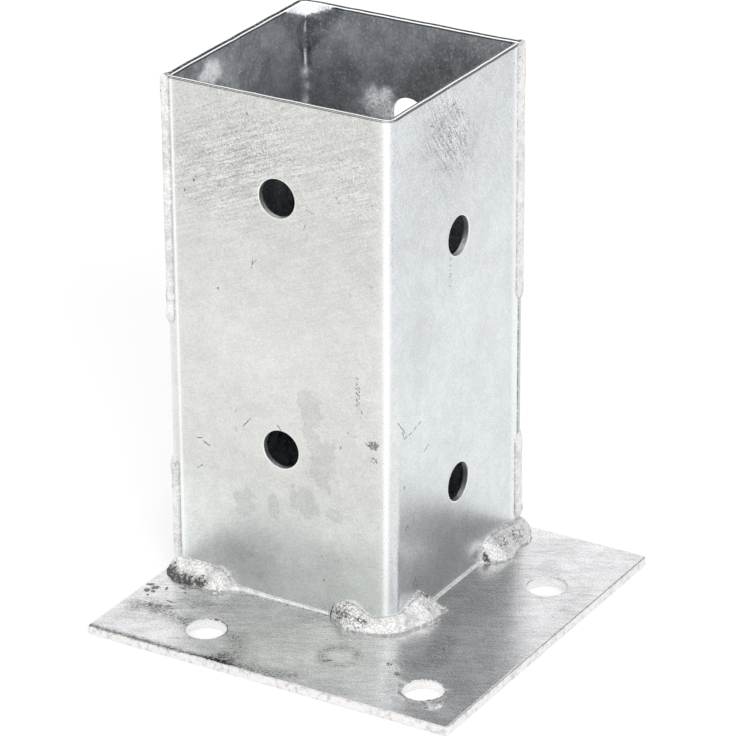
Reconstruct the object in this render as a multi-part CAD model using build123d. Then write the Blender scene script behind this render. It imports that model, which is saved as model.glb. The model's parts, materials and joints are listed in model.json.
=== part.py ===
"""Screw-on corner post sleeve: a folded and welded square sleeve on a square base plate.

Millimetres. The origin is the centre of the plate's underside and +Z is up. The sleeve stands
towards the plate's -X +Y corner, and the plate's free margins are on its -Y and +X sides.
"""

from build123d import *
from math import radians, tan
import os

# Post and sleeve
post_size = 70.0
post_clearance = 1.0
sheet = 2.0
sleeve_height = 157.0
fold_radius = 3.5
seam_gap = 0.15
sheet_edge_round = 0.45

# Base plate
plate_width = 120.0
plate_depth = 120.0
plate_thickness = 3.0
plate_edge_round = 0.5
plate_corner_round = 0.8
sleeve_margin = 3.8

# Through holes for the post bolts, with heights above the plate's top face
wall_hole = 11.7
wall_hole_pitch = 78.0
front_row_low = 49.1
side_row_low = 32.2

# Screw holes in the plate, measured from its -Y edge and its +X edge
plate_hole = 11.8
plate_hole_pitch = 72.5
plate_hole_from_front = 15.3
plate_hole_from_side = 16.4
hole_edge_round = 0.35

# Seam welds: how far each run reaches along its seam, and the bead's section
left_upper_run = 76.0
left_lower_run = 33.0
right_upper_run = 80.0
right_lower_run = 28.0
bead_face_width = 2.2
bead_lap = 1.6
bead_proud = 0.6
bead_corner_proud = 0.36
bead_above_rim = 0.6

# Foot welds: the fillet's leg, its convex shoulder, and each weld's reach along X and along Y
weld_leg = 5.4
weld_shoulder_height = 2.7
weld_shoulder_lean = 25.0
weld_toe = 0.25
weld_edge_margin = 0.3
weld_end_round = 5.0
weld_end_margin = 0.2
left_weld_reach = (20.0, 14.0)
front_weld_reach = (20.5, 24.0)
right_weld_reach = (14.0, 21.0)
back_weld_reach = (14.0, 14.0)

# How closely two radii agree when an edge is picked by its size
radius_match = 0.01

# Values that follow from the sizes above
sleeve_outer = post_size + post_clearance + 2 * sheet
half = sleeve_outer / 2
centre_x = -plate_width / 2 + sleeve_margin + half
centre_y = plate_depth / 2 - sleeve_margin - half
foot = plate_thickness
rim = foot + sleeve_height
middle = foot + sleeve_height / 2
weld_top = foot + weld_leg
hole_x = plate_width / 2 - plate_hole_from_side
hole_y = -plate_depth / 2 + plate_hole_from_front
plate_holes = [
    (hole_x - plate_hole_pitch, hole_y),
    (hole_x, hole_y),
    (hole_x, hole_y + plate_hole_pitch),
]
front_row = [(0, foot + front_row_low), (0, foot + front_row_low + wall_hole_pitch)]
side_row = [(0, foot + side_row_low), (0, foot + side_row_low + wall_hole_pitch)]


def round_holes(solid, diameter):
    """Rounds both edges of every hole of one diameter."""
    circles = solid.edges().filter_by(GeomType.CIRCLE)
    edges = [edge for edge in circles if abs(edge.radius - diameter / 2) < radius_match]
    return fillet(edges, hole_edge_round)


def upright_edge(solid, x, y):
    """The vertical edge that stands nearest to a point of the plan."""
    return solid.edges().filter_by(Axis.Z).sort_by_distance((x, y, middle))[0]


def on_plate(shape, turn=0):
    """Turns a shape about the sleeve's axis and sets it where the sleeve stands."""
    return Location((centre_x, centre_y, 0)) * Rotation(0, 0, turn) * shape


def make_base_plate():
    """The flat plate with its three screw holes."""
    with BuildPart() as part:
        with BuildSketch():
            RectangleRounded(plate_width, plate_depth, plate_corner_round)
            with Locations(*plate_holes):
                Circle(plate_hole / 2, mode=Mode.SUBTRACT)
        extrude(amount=plate_thickness)
        round_holes(part.part, plate_hole)
        flats = part.faces().filter_by(Axis.Z)
        fillet([edge for face in flats for edge in face.outer_wire().edges()], plate_edge_round)
    return part.part


def make_sleeve_half():
    """One folded sheet about the sleeve's axis, with its fold at the +X -Y corner.

    The long leg spans the whole -Y side. The short leg is the +X side, and stops a seam gap
    short of the inner face of the other half's long leg.
    """
    short_end = half - sheet - seam_gap
    outline = [
        (-half, -half),
        (half, -half),
        (half, short_end),
        (half - sheet, short_end),
        (half - sheet, -half + sheet),
        (-half, -half + sheet),
    ]
    with BuildPart() as part:
        with BuildSketch(Plane.XY.offset(foot)):
            Polygon(*outline, align=None)
        extrude(amount=sleeve_height)
        fillet(upright_edge(part.part, half, -half), fold_radius)
        fillet(upright_edge(part.part, half - sheet, -half + sheet), fold_radius - sheet)
        for x, y in (outline[0], outline[2], outline[3], outline[5]):
            fillet(upright_edge(part.part, x, y), sheet_edge_round)
        fillet(part.faces().sort_by(Axis.Z)[-1].edges(), sheet_edge_round)
        with BuildSketch(Plane.XZ.offset(half - sheet / 2)):
            with Locations(*front_row):
                Circle(wall_hole / 2)
        extrude(amount=sheet, both=True, mode=Mode.SUBTRACT)
        with BuildSketch(Plane.YZ.offset(half - sheet / 2)):
            with Locations(*side_row):
                Circle(wall_hole / 2)
        extrude(amount=sheet, both=True, mode=Mode.SUBTRACT)
        round_holes(part.part, wall_hole)
    return part.part


def make_seam_weld(low, high):
    """A bead between two heights on the seam at the sleeve's -X -Y corner.

    Its section covers a strip of the -Y face, goes round the corner and laps the joint that
    shows on the -X face.
    """
    lap = sheet + seam_gap + bead_lap
    toe_front = (-half + bead_face_width, -half)
    toe_side = (-half, -half + lap)
    with BuildPart() as part:
        with BuildSketch(Plane.XY.offset(low)):
            with BuildLine():
                Spline(
                    toe_front,
                    (-half + bead_face_width / 2, -half - bead_proud),
                    (-half - bead_corner_proud, -half - bead_corner_proud),
                    (-half - bead_proud, -half + lap / 2),
                    toe_side,
                )
                Polyline(toe_side, (-half, -half), toe_front)
            make_face()
        extrude(amount=high - low)
    return part.part


def make_sleeve_core():
    """The sleeve's outer form as a solid block, which the foot welds lie against."""
    with BuildPart() as part:
        with BuildSketch(Plane.XY.offset(foot)):
            Rectangle(sleeve_outer, sleeve_outer)
        extrude(amount=sleeve_height)
        for side in (1, -1):
            fillet(upright_edge(part.part, side * half, -side * half), fold_radius)
            fillet(upright_edge(part.part, side * half, side * half), sheet_edge_round)
    return part.part


def make_foot_weld(side_x, side_y, reach):
    """The fillet weld round one corner of the sleeve's foot, kept inside the plate's edges."""
    corner_round = sheet_edge_round if side_x == side_y else fold_radius
    lean = weld_shoulder_height * tan(radians(weld_shoulder_lean))
    layers = [(0, weld_leg), (weld_shoulder_height, weld_leg - lean), (weld_leg, weld_toe)]
    past = weld_leg + weld_end_margin
    span_x = reach[0] + past
    span_y = reach[1] + past
    window_x = side_x * (half + past - span_x / 2)
    window_y = side_y * (half + past - span_y / 2)
    limit_x = plate_width - 2 * weld_edge_margin
    limit_y = plate_depth - 2 * weld_edge_margin
    with BuildPart() as part:
        for height, outset in layers:
            with BuildSketch(Plane.XY.offset(foot + height)):
                side = sleeve_outer + 2 * outset
                RectangleRounded(side, side, corner_round + outset)
        loft(ruled=True)
        with BuildSketch(Plane.XY.offset(foot)):
            with Locations((window_x, window_y)):
                RectangleRounded(span_x, span_y, weld_end_round)
        extrude(amount=weld_leg, mode=Mode.INTERSECT)
        with BuildSketch(Plane.XY.offset(foot)):
            with Locations((-centre_x, -centre_y)):
                Rectangle(limit_x, limit_y)
        extrude(amount=weld_leg, mode=Mode.INTERSECT)
        add(make_sleeve_core(), mode=Mode.SUBTRACT)
    return part.part


sleeve_half = make_sleeve_half()
pieces = {
    "base_plate": make_base_plate(),
    "sleeve_half_front": on_plate(sleeve_half),
    "sleeve_half_back": on_plate(sleeve_half, 180),
    "seam_weld_left_upper": on_plate(make_seam_weld(rim - left_upper_run, rim + bead_above_rim)),
    "seam_weld_left_lower": on_plate(make_seam_weld(weld_top, weld_top + left_lower_run)),
    "seam_weld_right_upper": on_plate(make_seam_weld(rim - right_upper_run, rim + bead_above_rim), 180),
    "seam_weld_right_lower": on_plate(make_seam_weld(weld_top, weld_top + right_lower_run), 180),
    "foot_weld_left": on_plate(make_foot_weld(-1, -1, left_weld_reach)),
    "foot_weld_front": on_plate(make_foot_weld(1, -1, front_weld_reach)),
    "foot_weld_right": on_plate(make_foot_weld(1, 1, right_weld_reach)),
    "foot_weld_back": on_plate(make_foot_weld(-1, 1, back_weld_reach)),
}

os.makedirs("parts", exist_ok=True)
for name, piece in pieces.items():
    export_step(piece, f"parts/{name}.step")
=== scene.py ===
"""Looks of the screw-on post sleeve: its meshes, galvanised finishes, studio and camera.

Lengths are in millimetres in the part's own frame, and turn into metres where a mesh or the camera
is made. Only the studio's own lengths are in metres. The shapes repeat the sizes of the solids, and
add what a dipped and welded piece shows: lumpy beads, rounded rims, waves in the sheet and marks.
"""

from __future__ import annotations

import json
import logging
import math
from dataclasses import dataclass, field
from enum import Enum

import bpy
import numpy as np
from mathutils import Matrix

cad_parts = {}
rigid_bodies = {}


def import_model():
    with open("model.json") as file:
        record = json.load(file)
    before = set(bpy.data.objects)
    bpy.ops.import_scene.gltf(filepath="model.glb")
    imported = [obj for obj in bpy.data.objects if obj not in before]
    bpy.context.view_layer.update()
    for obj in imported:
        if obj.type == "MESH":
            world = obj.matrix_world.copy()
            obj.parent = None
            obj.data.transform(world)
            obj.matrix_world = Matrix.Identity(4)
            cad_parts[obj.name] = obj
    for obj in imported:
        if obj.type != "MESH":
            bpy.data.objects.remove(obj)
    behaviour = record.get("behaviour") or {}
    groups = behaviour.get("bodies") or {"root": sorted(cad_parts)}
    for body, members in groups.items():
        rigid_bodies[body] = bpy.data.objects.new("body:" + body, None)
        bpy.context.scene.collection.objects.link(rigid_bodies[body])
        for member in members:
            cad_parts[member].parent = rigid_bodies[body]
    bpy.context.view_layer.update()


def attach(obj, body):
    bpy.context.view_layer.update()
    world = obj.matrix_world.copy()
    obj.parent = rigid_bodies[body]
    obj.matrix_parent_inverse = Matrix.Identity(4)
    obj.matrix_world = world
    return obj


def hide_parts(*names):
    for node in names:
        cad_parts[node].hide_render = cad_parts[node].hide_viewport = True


LOG = logging.getLogger("post_sleeve")
MM = 0.001
ORIGIN = (0.0, 0.0, 0.0)
Socket = bpy.types.NodeSocket
Value = Socket | float | tuple
Marks = tuple["Blot | Trail", ...]


class Slot(Enum):
    """The record's material slots."""

    PLATE = "zinc_plate"
    SHEET = "zinc_sheet"
    WELD = "zinc_weld"


class Turn(Enum):
    """Quarter turns about the sleeve's axis that take the front corner to each corner."""

    FRONT = 0
    RIGHT = 90
    BACK = 180
    LEFT = 270


@dataclass(frozen=True)
class Sizes:
    """The sizes that the sheets, the plate and the welds share."""

    half: float = 37.5
    gauge: float = 2.0
    fold: float = 3.5
    seam_gap: float = 0.15
    edge: float = 0.45
    foot: float = 3.0
    rim: float = 160.0
    centre_x: float = -18.7
    centre_y: float = 18.7
    plate: float = 120.0
    wall_hole: float = 5.85
    plate_hole: float = 5.9
    front_rows: tuple[float, float] = (52.1, 130.1)
    side_rows: tuple[float, float] = (35.2, 113.2)


SIZES = Sizes()


def put(name: str, data: bpy.types.ID) -> bpy.types.Object:
    """Makes an object of some data and links it to the scene."""
    made = bpy.data.objects.new(name, data)
    bpy.context.scene.collection.objects.link(made)
    return made


# Surfaces worked out with numpy


def smooth_noise(points: np.ndarray, size: float, seed: int) -> np.ndarray:
    """Values from -1 to 1 that change smoothly over a length.

    Random numbers stand on a cubic lattice and are blended on each axis with 3t^2 - 2t^3.

    Args:
        points: Places, one row of three numbers each.
        size: The lattice's pitch.
        seed: Picks the random numbers.

    Returns:
        One value for each place.
    """
    count = 32
    table = np.random.default_rng(seed).uniform(-1.0, 1.0, (count, count, count))
    cell = points / size
    base = np.floor(cell).astype(int)
    part = cell - base
    part = part * part * (3.0 - 2.0 * part)
    total = np.zeros(len(points))
    for corner in np.ndindex(2, 2, 2):
        step = np.array(corner)
        weight = np.prod(np.where(step == 1, part, 1.0 - part), axis=1)
        i, j, k = ((base + step) % count).T
        total += weight * table[i, j, k]
    return total


def layered(points: np.ndarray, layers: tuple[tuple[float, float], ...], seed: int) -> np.ndarray:
    """Smooth noise in layers, each with a size and a height of its own."""
    return sum(
        smooth_noise(points, size, seed + place) * height
        for place, (size, height) in enumerate(layers)
    )


def bell(values: np.ndarray, centre: float, spread: float) -> np.ndarray:
    """A smooth hill: e to the power of minus the squared distance over the spread squared."""
    return np.exp(-(((values - centre) / spread) ** 2))


def firm(values: np.ndarray, start: float, stop: float) -> np.ndarray:
    """Runs smoothly from 1 at the start to 0 at the stop."""
    share = np.clip((values - start) / (stop - start), 0.0, 1.0)
    return 1.0 - share * share * (3.0 - 2.0 * share)


@dataclass(frozen=True)
class Blot:
    """A round or long patch on a face, in that face's own two coordinates."""

    centre: tuple[float, float]
    reach: tuple[float, float]
    strength: float = 1.0
    tilt: float = 0.0
    soft: float = 0.5

    def mask(self, plan: np.ndarray) -> np.ndarray:
        """The patch's strength: firm inside an ellipse, and nothing past its reach."""
        turn = math.radians(self.tilt)
        away = plan - np.array(self.centre)
        along = away[:, 0] * math.cos(turn) + away[:, 1] * math.sin(turn)
        across = away[:, 1] * math.cos(turn) - away[:, 0] * math.sin(turn)
        wobble = 0.22 * smooth_noise(np.column_stack([plan, 0 * along]), 2.2, 7)
        distance = np.hypot(along / self.reach[0], across / self.reach[1]) + wobble
        return self.strength * firm(distance, 1.0 - self.soft, 1.0)


@dataclass(frozen=True)
class Trail:
    """A line of marks along a few places on a face."""

    path: tuple[tuple[float, float], ...]
    width: float
    strength: float = 1.0

    def mask(self, plan: np.ndarray) -> np.ndarray:
        """The line's strength: it fades with the distance from the nearest stretch."""
        nearest = np.full(len(plan), np.inf)
        for start, end in zip(np.array(self.path[:-1]), np.array(self.path[1:])):
            run = end - start
            share = np.clip(((plan - start) @ run) / (run @ run), 0.0, 1.0)
            nearest = np.minimum(nearest, np.linalg.norm(plan - start - share[:, None] * run, axis=1))
        return self.strength * firm(nearest, 0.3 * self.width, self.width)


def blots(*rows: tuple[float, ...]) -> tuple[Blot, ...]:
    """Blots from rows of x, y, reach along, reach across, strength, tilt and softness."""
    return tuple(Blot(row[:2], row[2:4], *row[4:]) for row in rows)


def trails(*rows: tuple) -> tuple[Trail, ...]:
    """Trails from rows of a width, a strength and the places on the way."""
    return tuple(Trail(row[2:], *row[:2]) for row in rows)


def painted(plan: np.ndarray, marks: Marks) -> np.ndarray:
    """The strongest mark at each place."""
    total = np.zeros(len(plan))
    for mark in marks:
        total = np.maximum(total, mark.mask(plan))
    return total


def tinted(plan: np.ndarray, marks: Marks) -> np.ndarray:
    """The sum of marks at each place, above zero for light ones and below for dark ones."""
    return np.sum([mark.mask(plan) for mark in marks], axis=0)


def grid_lines(low: float, high: float, step: float, stops: list[float]) -> np.ndarray:
    """Grid lines between two ends that pass through every stop.

    Args:
        low: The first line.
        high: The last line.
        step: About how far apart the lines are.
        stops: Values that get a line of their own.

    Returns:
        The lines in rising order.
    """
    knots = np.unique(np.round(np.array([low, high, *stops]), 5))
    parts = [
        np.linspace(a, b, max(1, round((b - a) / step)), endpoint=False)
        for a, b in zip(knots[:-1], knots[1:])
    ]
    return np.concatenate([*parts, [high]])


def strips(index: np.ndarray, closed: bool) -> np.ndarray:
    """Quads between neighbouring rows and columns of a table of point numbers.

    Args:
        index: Point numbers, a row for each line of the surface.
        closed: Whether the last column joins the first.

    Returns:
        Four point numbers for each quad.
    """
    if closed:
        index = np.concatenate([index, index[:, :1]], axis=1)
    corners = (index[:-1, :-1], index[:-1, 1:], index[1:, 1:], index[1:, :-1])
    return np.stack(corners, axis=-1).reshape(-1, 4)


@dataclass
class Shell:
    """Points, faces and painted values of one piece, and the place of each face's finish in its list."""

    points: np.ndarray
    quads: np.ndarray
    paint: dict[str, np.ndarray] = field(default_factory=dict)
    finish: np.ndarray | None = None
    triangles: np.ndarray = field(default_factory=lambda: np.zeros((0, 3), int))

    def volume(self) -> float:
        """The volume inside the faces, which is negative where they point inwards."""
        halves = [self.quads[:, [0, 1, 2]], self.quads[:, [0, 2, 3]], self.triangles]
        a, b, c = (self.points[np.concatenate(halves)[:, k]] for k in range(3))
        return float(np.einsum("ij,ij->i", a, np.cross(b, c)).sum() / 6.0)

    def to_object(self, name: str) -> bpy.types.Object:
        """Makes the mesh and its object, with every face outwards.

        Args:
            name: The piece's name.

        Returns:
            The new object, which sits at the origin.
        """
        if self.volume() < 0:
            self.quads = self.quads[:, ::-1]
            self.triangles = self.triangles[:, ::-1]
        mesh = bpy.data.meshes.new(name)
        mesh.vertices.add(len(self.points))
        mesh.vertices.foreach_set("co", (self.points * MM).astype(np.float32).ravel())
        corners = np.concatenate([self.quads.ravel(), self.triangles.ravel()])
        sides = np.repeat([4, 3], [len(self.quads), len(self.triangles)])
        mesh.loops.add(len(corners))
        mesh.loops.foreach_set("vertex_index", corners.astype(np.int32))
        mesh.polygons.add(len(sides))
        starts = np.concatenate([[0], np.cumsum(sides)[:-1]])
        mesh.polygons.foreach_set("loop_start", starts.astype(np.int32))
        mesh.polygons.foreach_set("use_smooth", np.ones(len(sides), bool))
        if self.finish is not None:
            mesh.polygons.foreach_set("material_index", self.finish.astype(np.int32))
        mesh.update(calc_edges=True)
        for key, values in self.paint.items():
            layer = mesh.attributes.new(key, "FLOAT", "POINT")
            layer.data.foreach_set("value", values.astype(np.float32))
        mesh.validate()
        return put(name, mesh)


def swept_shell(sections: np.ndarray) -> Shell:
    """A closed skin over a row of closed sections, with a fan on each end.

    Args:
        sections: Points as stations, places round the section, and three numbers.

    Returns:
        The skin.
    """
    stations, places, _ = sections.shape
    index = np.arange(stations * places).reshape(stations, places)
    ends = sections[[0, -1]].mean(axis=1)
    first, last = stations * places, stations * places + 1
    ring = np.arange(places)
    after = np.roll(ring, -1)
    start = np.stack([np.full(places, first), after, ring], axis=1)
    far = index[-1, 0]
    stop = np.stack([np.full(places, last), far + ring, far + after], axis=1)
    return Shell(
        points=np.concatenate([sections.reshape(-1, 3), ends]),
        quads=strips(index, closed=True)[:, ::-1],
        triangles=np.concatenate([start, stop])[:, ::-1],
    )


def weld_shell(sections: np.ndarray, values: dict[str, np.ndarray]) -> Shell:
    """The skin of a weld, painted on the places that show.

    Args:
        sections: Points as stations, places round the section, and three numbers. The last places
            round each section are hidden in the metal.
        values: Painted values by name, for each station and each place that shows. The hidden
            places and the middles of the two ends stay at zero.

    Returns:
        The painted skin.
    """
    shell = swept_shell(sections)
    for key, grid in values.items():
        padded = np.pad(grid, ((0, 0), (0, sections.shape[1] - grid.shape[1])))
        shell.paint[key] = np.append(padded.ravel(), (0.0, 0.0))
    return shell


@dataclass(frozen=True)
class Hole:
    """A round hole in a flat sheet, by its centre in the sheet's own u and v."""

    u: float
    v: float
    radius: float


@dataclass
class HoledSheet:
    """A flat sheet with round holes, as a closed skin in its own u, v and w.

    The outer face lies at w = 0 and the inner face at w = -gauge. The flats are grids. Round each
    hole a square of the grid gives way to rings that turn from the square to the circle, and the
    rings go on down the hole as a quarter round, the bore and a second quarter round. The border
    is a band that goes round the sheet in the same way.
    """

    low: tuple[float, float]
    high: tuple[float, float]
    gauge: float
    corner: float
    edge: float
    hole_edge: float
    step: float
    holes: tuple[Hole, ...]
    patch: float = 8.4
    stops_u: tuple[float, ...] = ()
    steps_round: int = 5
    rings_in_bore: int = 2
    ring_shares: tuple[float, ...] = (0.35, 0.65, 0.88, 1.0)
    end_strip: float = 0.12
    tiny: float = 1e-6

    def rounding(self, radius: float) -> tuple[np.ndarray, np.ndarray]:
        """How far out and how deep a quarter round is: r sin a and r (1 - cos a)."""
        angle = np.linspace(0.0, math.pi / 2, self.steps_round + 1)[1:]
        return radius * np.sin(angle), radius * (1.0 - np.cos(angle))

    def through(self, out: np.ndarray, deep: np.ndarray) -> tuple[np.ndarray, np.ndarray]:
        """Doubles a rounding into the whole way from the outer face to the inner face."""
        middle = np.linspace(deep[-1], self.gauge - deep[-1], self.rings_in_bore + 2)[1:-1]
        outs = np.concatenate([out, np.full(self.rings_in_bore, out[-1]), out[::-1], [0.0]])
        deeps = np.concatenate([deep, middle, self.gauge - deep[::-1], [self.gauge]])
        return outs, deeps

    def skin(self) -> tuple[np.ndarray, np.ndarray]:
        """Works out the points in u, v and w, and the quads.

        Returns:
            The points, and four point numbers for each quad.
        """
        inset = self.corner
        stops = [[], []]
        for hole in self.holes:
            for axis, centre in enumerate((hole.u, hole.v)):
                stops[axis] += [centre - self.patch, centre + self.patch]
        lows = [value + inset for value in self.low]
        highs = [value - inset for value in self.high]
        stops[0] += self.stops_u
        for axis in (0, 1):
            stops[axis] += [lows[axis] + self.end_strip, highs[axis] - self.end_strip]
        us, vs = (grid_lines(lows[k], highs[k], self.step, stops[k]) for k in (0, 1))
        flat = np.stack(np.meshgrid(us, vs, indexing="ij"), axis=-1)
        count = len(us) * len(vs)
        top = np.arange(count).reshape(len(us), len(vs))
        bottom = top + count
        depths = np.repeat([0.0, -self.gauge], count)
        points = [np.column_stack([np.tile(flat.reshape(-1, 2), (2, 1)), depths])]
        keep = np.ones((len(us) - 1, len(vs) - 1), bool)
        quads = []
        made = 2 * count
        for hole in self.holes:
            near_u, far_u = (int(np.abs(us - hole.u - s * self.patch).argmin()) for s in (-1, 1))
            near_v, far_v = (int(np.abs(vs - hole.v - s * self.patch).argmin()) for s in (-1, 1))
            keep[near_u:far_u, near_v:far_v] = False
            loop = self.loop(near_u, far_u, near_v, far_v)
            rings = self.hole_rings(hole, flat[loop])
            quads.append(self.bridge(top[loop], bottom[loop], made, len(rings)))
            points.append(rings.reshape(-1, 3))
            made += rings.shape[0] * rings.shape[1]
        loop = self.loop(0, len(us) - 1, 0, len(vs) - 1)
        rings = self.border_rings(flat[loop], lows, highs)
        quads.append(self.bridge(top[loop], bottom[loop], made, len(rings))[:, ::-1])
        points.append(rings.reshape(-1, 3))
        cells = strips(top, closed=False).reshape(len(us) - 1, len(vs) - 1, 4)[keep]
        quads += [cells[:, ::-1], cells + count]
        points, quads = np.concatenate(points), np.concatenate(quads)
        used, quads = np.unique(quads, return_inverse=True)
        return points[used], quads.reshape(-1, 4)

    @staticmethod
    def loop(i0: int, i1: int, j0: int, j1: int) -> tuple[np.ndarray, np.ndarray]:
        """The grid places round a rectangle of cells, anticlockwise, each once."""
        along, up = np.arange(i0, i1), np.arange(j0, j1)
        i = [along, np.full(len(up), i1), along[::-1] + 1, np.full(len(up), i0)]
        j = [np.full(len(along), j0), up, np.full(len(along), j1), up[::-1] + 1]
        return np.concatenate(i), np.concatenate(j)

    @staticmethod
    def bridge(top: np.ndarray, bottom: np.ndarray, first: int, rings: int) -> np.ndarray:
        """Quads from the outer face's loop over new rings to the inner face's loop."""
        new = first + np.arange(rings * len(top)).reshape(rings, len(top))
        return strips(np.concatenate([top[None], new, bottom[None]]), closed=True)

    def hole_rings(self, hole: Hole, square: np.ndarray) -> np.ndarray:
        """Rings from a square through the hole to the same square on the inner face.

        A ring on a flat is the blend of the square with the circle just outside the rounding, on
        the same bearing from the hole's centre.
        """
        centre = np.array([hole.u, hole.v])
        away = square - centre
        bearing = away / np.linalg.norm(away, axis=1, keepdims=True)
        circle = centre + bearing * (hole.radius + self.hole_edge)
        share = np.array(self.ring_shares)[:, None, None]
        flat = square * (1.0 - share) + circle * share
        outs, deeps = self.through(*self.rounding(self.hole_edge))
        inside = circle - bearing * outs[:-1, None, None]
        bore = self.at_depth(inside, -deeps[:-1, None, None])
        under = self.at_depth(flat, -self.gauge)[::-1]
        return np.concatenate([self.at_depth(flat, 0.0), bore, under])

    @staticmethod
    def at_depth(rings: np.ndarray, w: np.ndarray | float) -> np.ndarray:
        """Rings of u and v with their w."""
        return np.concatenate([rings, np.broadcast_to(w, (*rings.shape[:2], 1))], axis=-1)

    def border_rings(self, loop: np.ndarray, lows: list[float], highs: list[float]) -> np.ndarray:
        """Rings that leave the grid's border square to it, go round the edge and come back."""
        out = np.zeros_like(loop)
        for axis in (0, 1):
            out[:, axis] += loop[:, axis] > highs[axis] - self.tiny
            out[:, axis] -= loop[:, axis] < lows[axis] + self.tiny
        out /= np.linalg.norm(out, axis=1, keepdims=True)
        outs, deeps = self.through(*self.rounding(self.edge))
        start = self.corner - self.edge
        rings = self.at_depth(loop + out * (start + outs[:, None, None]), -deeps[:, None, None])
        if start < self.tiny:
            return rings[:-1]
        first = self.at_depth((loop + out * start)[None], 0.0)
        return np.concatenate([first, rings])

    def distances(self, points: np.ndarray) -> tuple[np.ndarray, np.ndarray]:
        """How far each point is from the sheet's border, and from the nearest bore."""
        u, v = points[:, 0], points[:, 1]
        sides = (u - self.low[0], self.high[0] - u, v - self.low[1], self.high[1] - v)
        bores = [np.hypot(u - h.u, v - h.v) - h.radius for h in self.holes]
        return np.min(sides, axis=0), np.min(bores, axis=0)


# Shader nodes


class Graph:
    """Places nodes in one node tree and joins them."""

    def __init__(self, tree: bpy.types.NodeTree) -> None:
        """Keeps the tree."""
        self.tree = tree

    def add(self, kind: str, inputs: dict | None = None, **settings: object) -> bpy.types.Node:
        """Adds one node.

        Args:
            kind: The node's type name.
            inputs: Values or sockets for its inputs, by name or number.
            settings: Its own properties.

        Returns:
            The new node.
        """
        node = self.tree.nodes.new(kind)
        for key, value in settings.items():
            setattr(node, key, value)
        for key, value in (inputs or {}).items():
            self.feed(node.inputs[key], value)
        return node

    def feed(self, socket: Socket, value: Value) -> None:
        """Joins a socket to another, or sets it."""
        if isinstance(value, Socket):
            self.tree.links.new(value, socket)
        else:
            socket.default_value = value

    def math(self, operation: str, *values: Value, clamp: bool = False) -> Socket:
        """A Math node on numbers or sockets."""
        inputs = dict(enumerate(values))
        return self.add("ShaderNodeMath", inputs, operation=operation, use_clamp=clamp).outputs[0]

    def chain(self, operation: str, values: tuple[Value, ...], clamp: bool) -> Socket:
        """Values joined by one operation from the left, where only the last step is clamped."""
        total = values[0]
        for value in values[1:-1]:
            total = self.math(operation, total, value)
        return self.math(operation, total, values[-1], clamp=clamp)

    def times(self, *values: Value, clamp: bool = False) -> Socket:
        """The product of the values."""
        return self.chain("MULTIPLY", values, clamp)

    def plus(self, *values: Value, clamp: bool = False) -> Socket:
        """The sum of the values."""
        return self.chain("ADD", values, clamp)

    def minus(self, *values: Value, clamp: bool = False) -> Socket:
        """The first value less the others."""
        return self.chain("SUBTRACT", values, clamp)

    def most(self, *values: Value) -> Socket:
        """The largest of the values."""
        return self.chain("MAXIMUM", values, False)

    def vector(self, operation: str, *values: Value) -> Socket:
        """A Vector Math node; Scale takes its number last."""
        keys = (0, "Scale") if operation == "SCALE" else (0, 1)
        node = self.add("ShaderNodeVectorMath", dict(zip(keys, values)), operation=operation)
        return node.outputs["Value" if operation in ("LENGTH", "DOT_PRODUCT") else "Vector"]

    def ramp(self, value: Value, low: Value, high: Value, to: tuple[float, float] = (0, 1)) -> Socket:
        """A smooth step of a value from low to high."""
        inputs = {"Value": value, "From Min": low, "From Max": high, "To Min": to[0], "To Max": to[1]}
        return self.add("ShaderNodeMapRange", inputs, interpolation_type="SMOOTHSTEP").outputs[0]

    def mix(self, share: Value, a: Value, b: Value, blend: str = "MIX") -> Socket:
        """Two colours mixed by a share."""
        settings = {"data_type": "RGBA", "blend_type": blend, "clamp_factor": True}
        node = self.add("ShaderNodeMix", **settings)
        for index, value in ((0, share), (6, a), (7, b)):
            self.feed(node.inputs[index], value)
        return node.outputs[2]

    def noise(self, place: Value, size: Value, detail: float = 2.0, rough: float = 0.5) -> Socket:
        """Noise whose features are about a size in millimetres; place is in millimetres."""
        scale = self.math("DIVIDE", 1.0, size) if isinstance(size, Socket) else 1.0 / size
        inputs = {"Vector": place, "Scale": scale, "Detail": detail, "Roughness": rough}
        return self.add("ShaderNodeTexNoise", inputs).outputs["Fac"]

    def swing(self, place: Value, size: Value, detail: float = 2.0, rough: float = 0.5) -> Socket:
        """The same noise about zero."""
        return self.minus(self.noise(place, size, detail, rough), 0.5)

    def group(self, tree: bpy.types.NodeTree, **inputs: Value) -> Socket:
        """Places a group with its own values, named with _ for a space, and gives its output."""
        node = self.add("ShaderNodeGroup", node_tree=tree)
        self.give(node, **inputs)
        return node.outputs[0]

    def value(self, name: str) -> Socket:
        """A painted value of the mesh."""
        return self.add("ShaderNodeAttribute", attribute_name=name).outputs["Fac"]

    def place(self) -> Socket:
        """The point in the part's frame, in millimetres."""
        source = self.add("ShaderNodeTexCoord").outputs["Object"]
        return self.vector("SCALE", source, 1.0 / MM)

    def height(self, place: Socket) -> Socket:
        """How high a point is."""
        return self.add("ShaderNodeSeparateXYZ", {"Vector": place}).outputs["Z"]

    def grey(self, value: Value) -> Socket:
        """A colour with the same value in all three channels."""
        inputs = {"Red": value, "Green": value, "Blue": value}
        return self.add("ShaderNodeCombineColor", inputs).outputs[0]

    def shaded(self, colour: Value, tone: Value) -> Socket:
        """A colour times a tone."""
        return self.mix(1.0, colour, self.grey(tone), "MULTIPLY")

    def bump(self, height: Socket) -> Socket:
        """The normal of a surface with a height in metres."""
        return self.add("ShaderNodeBump", {"Height": height, "Distance": 1.0}).outputs[0]

    def give(self, node: bpy.types.Node, **inputs: Value) -> None:
        """Feeds a node's inputs, named with _ for a space."""
        for key, value in inputs.items():
            self.feed(node.inputs[key.replace("_", " ")], value)

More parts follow.
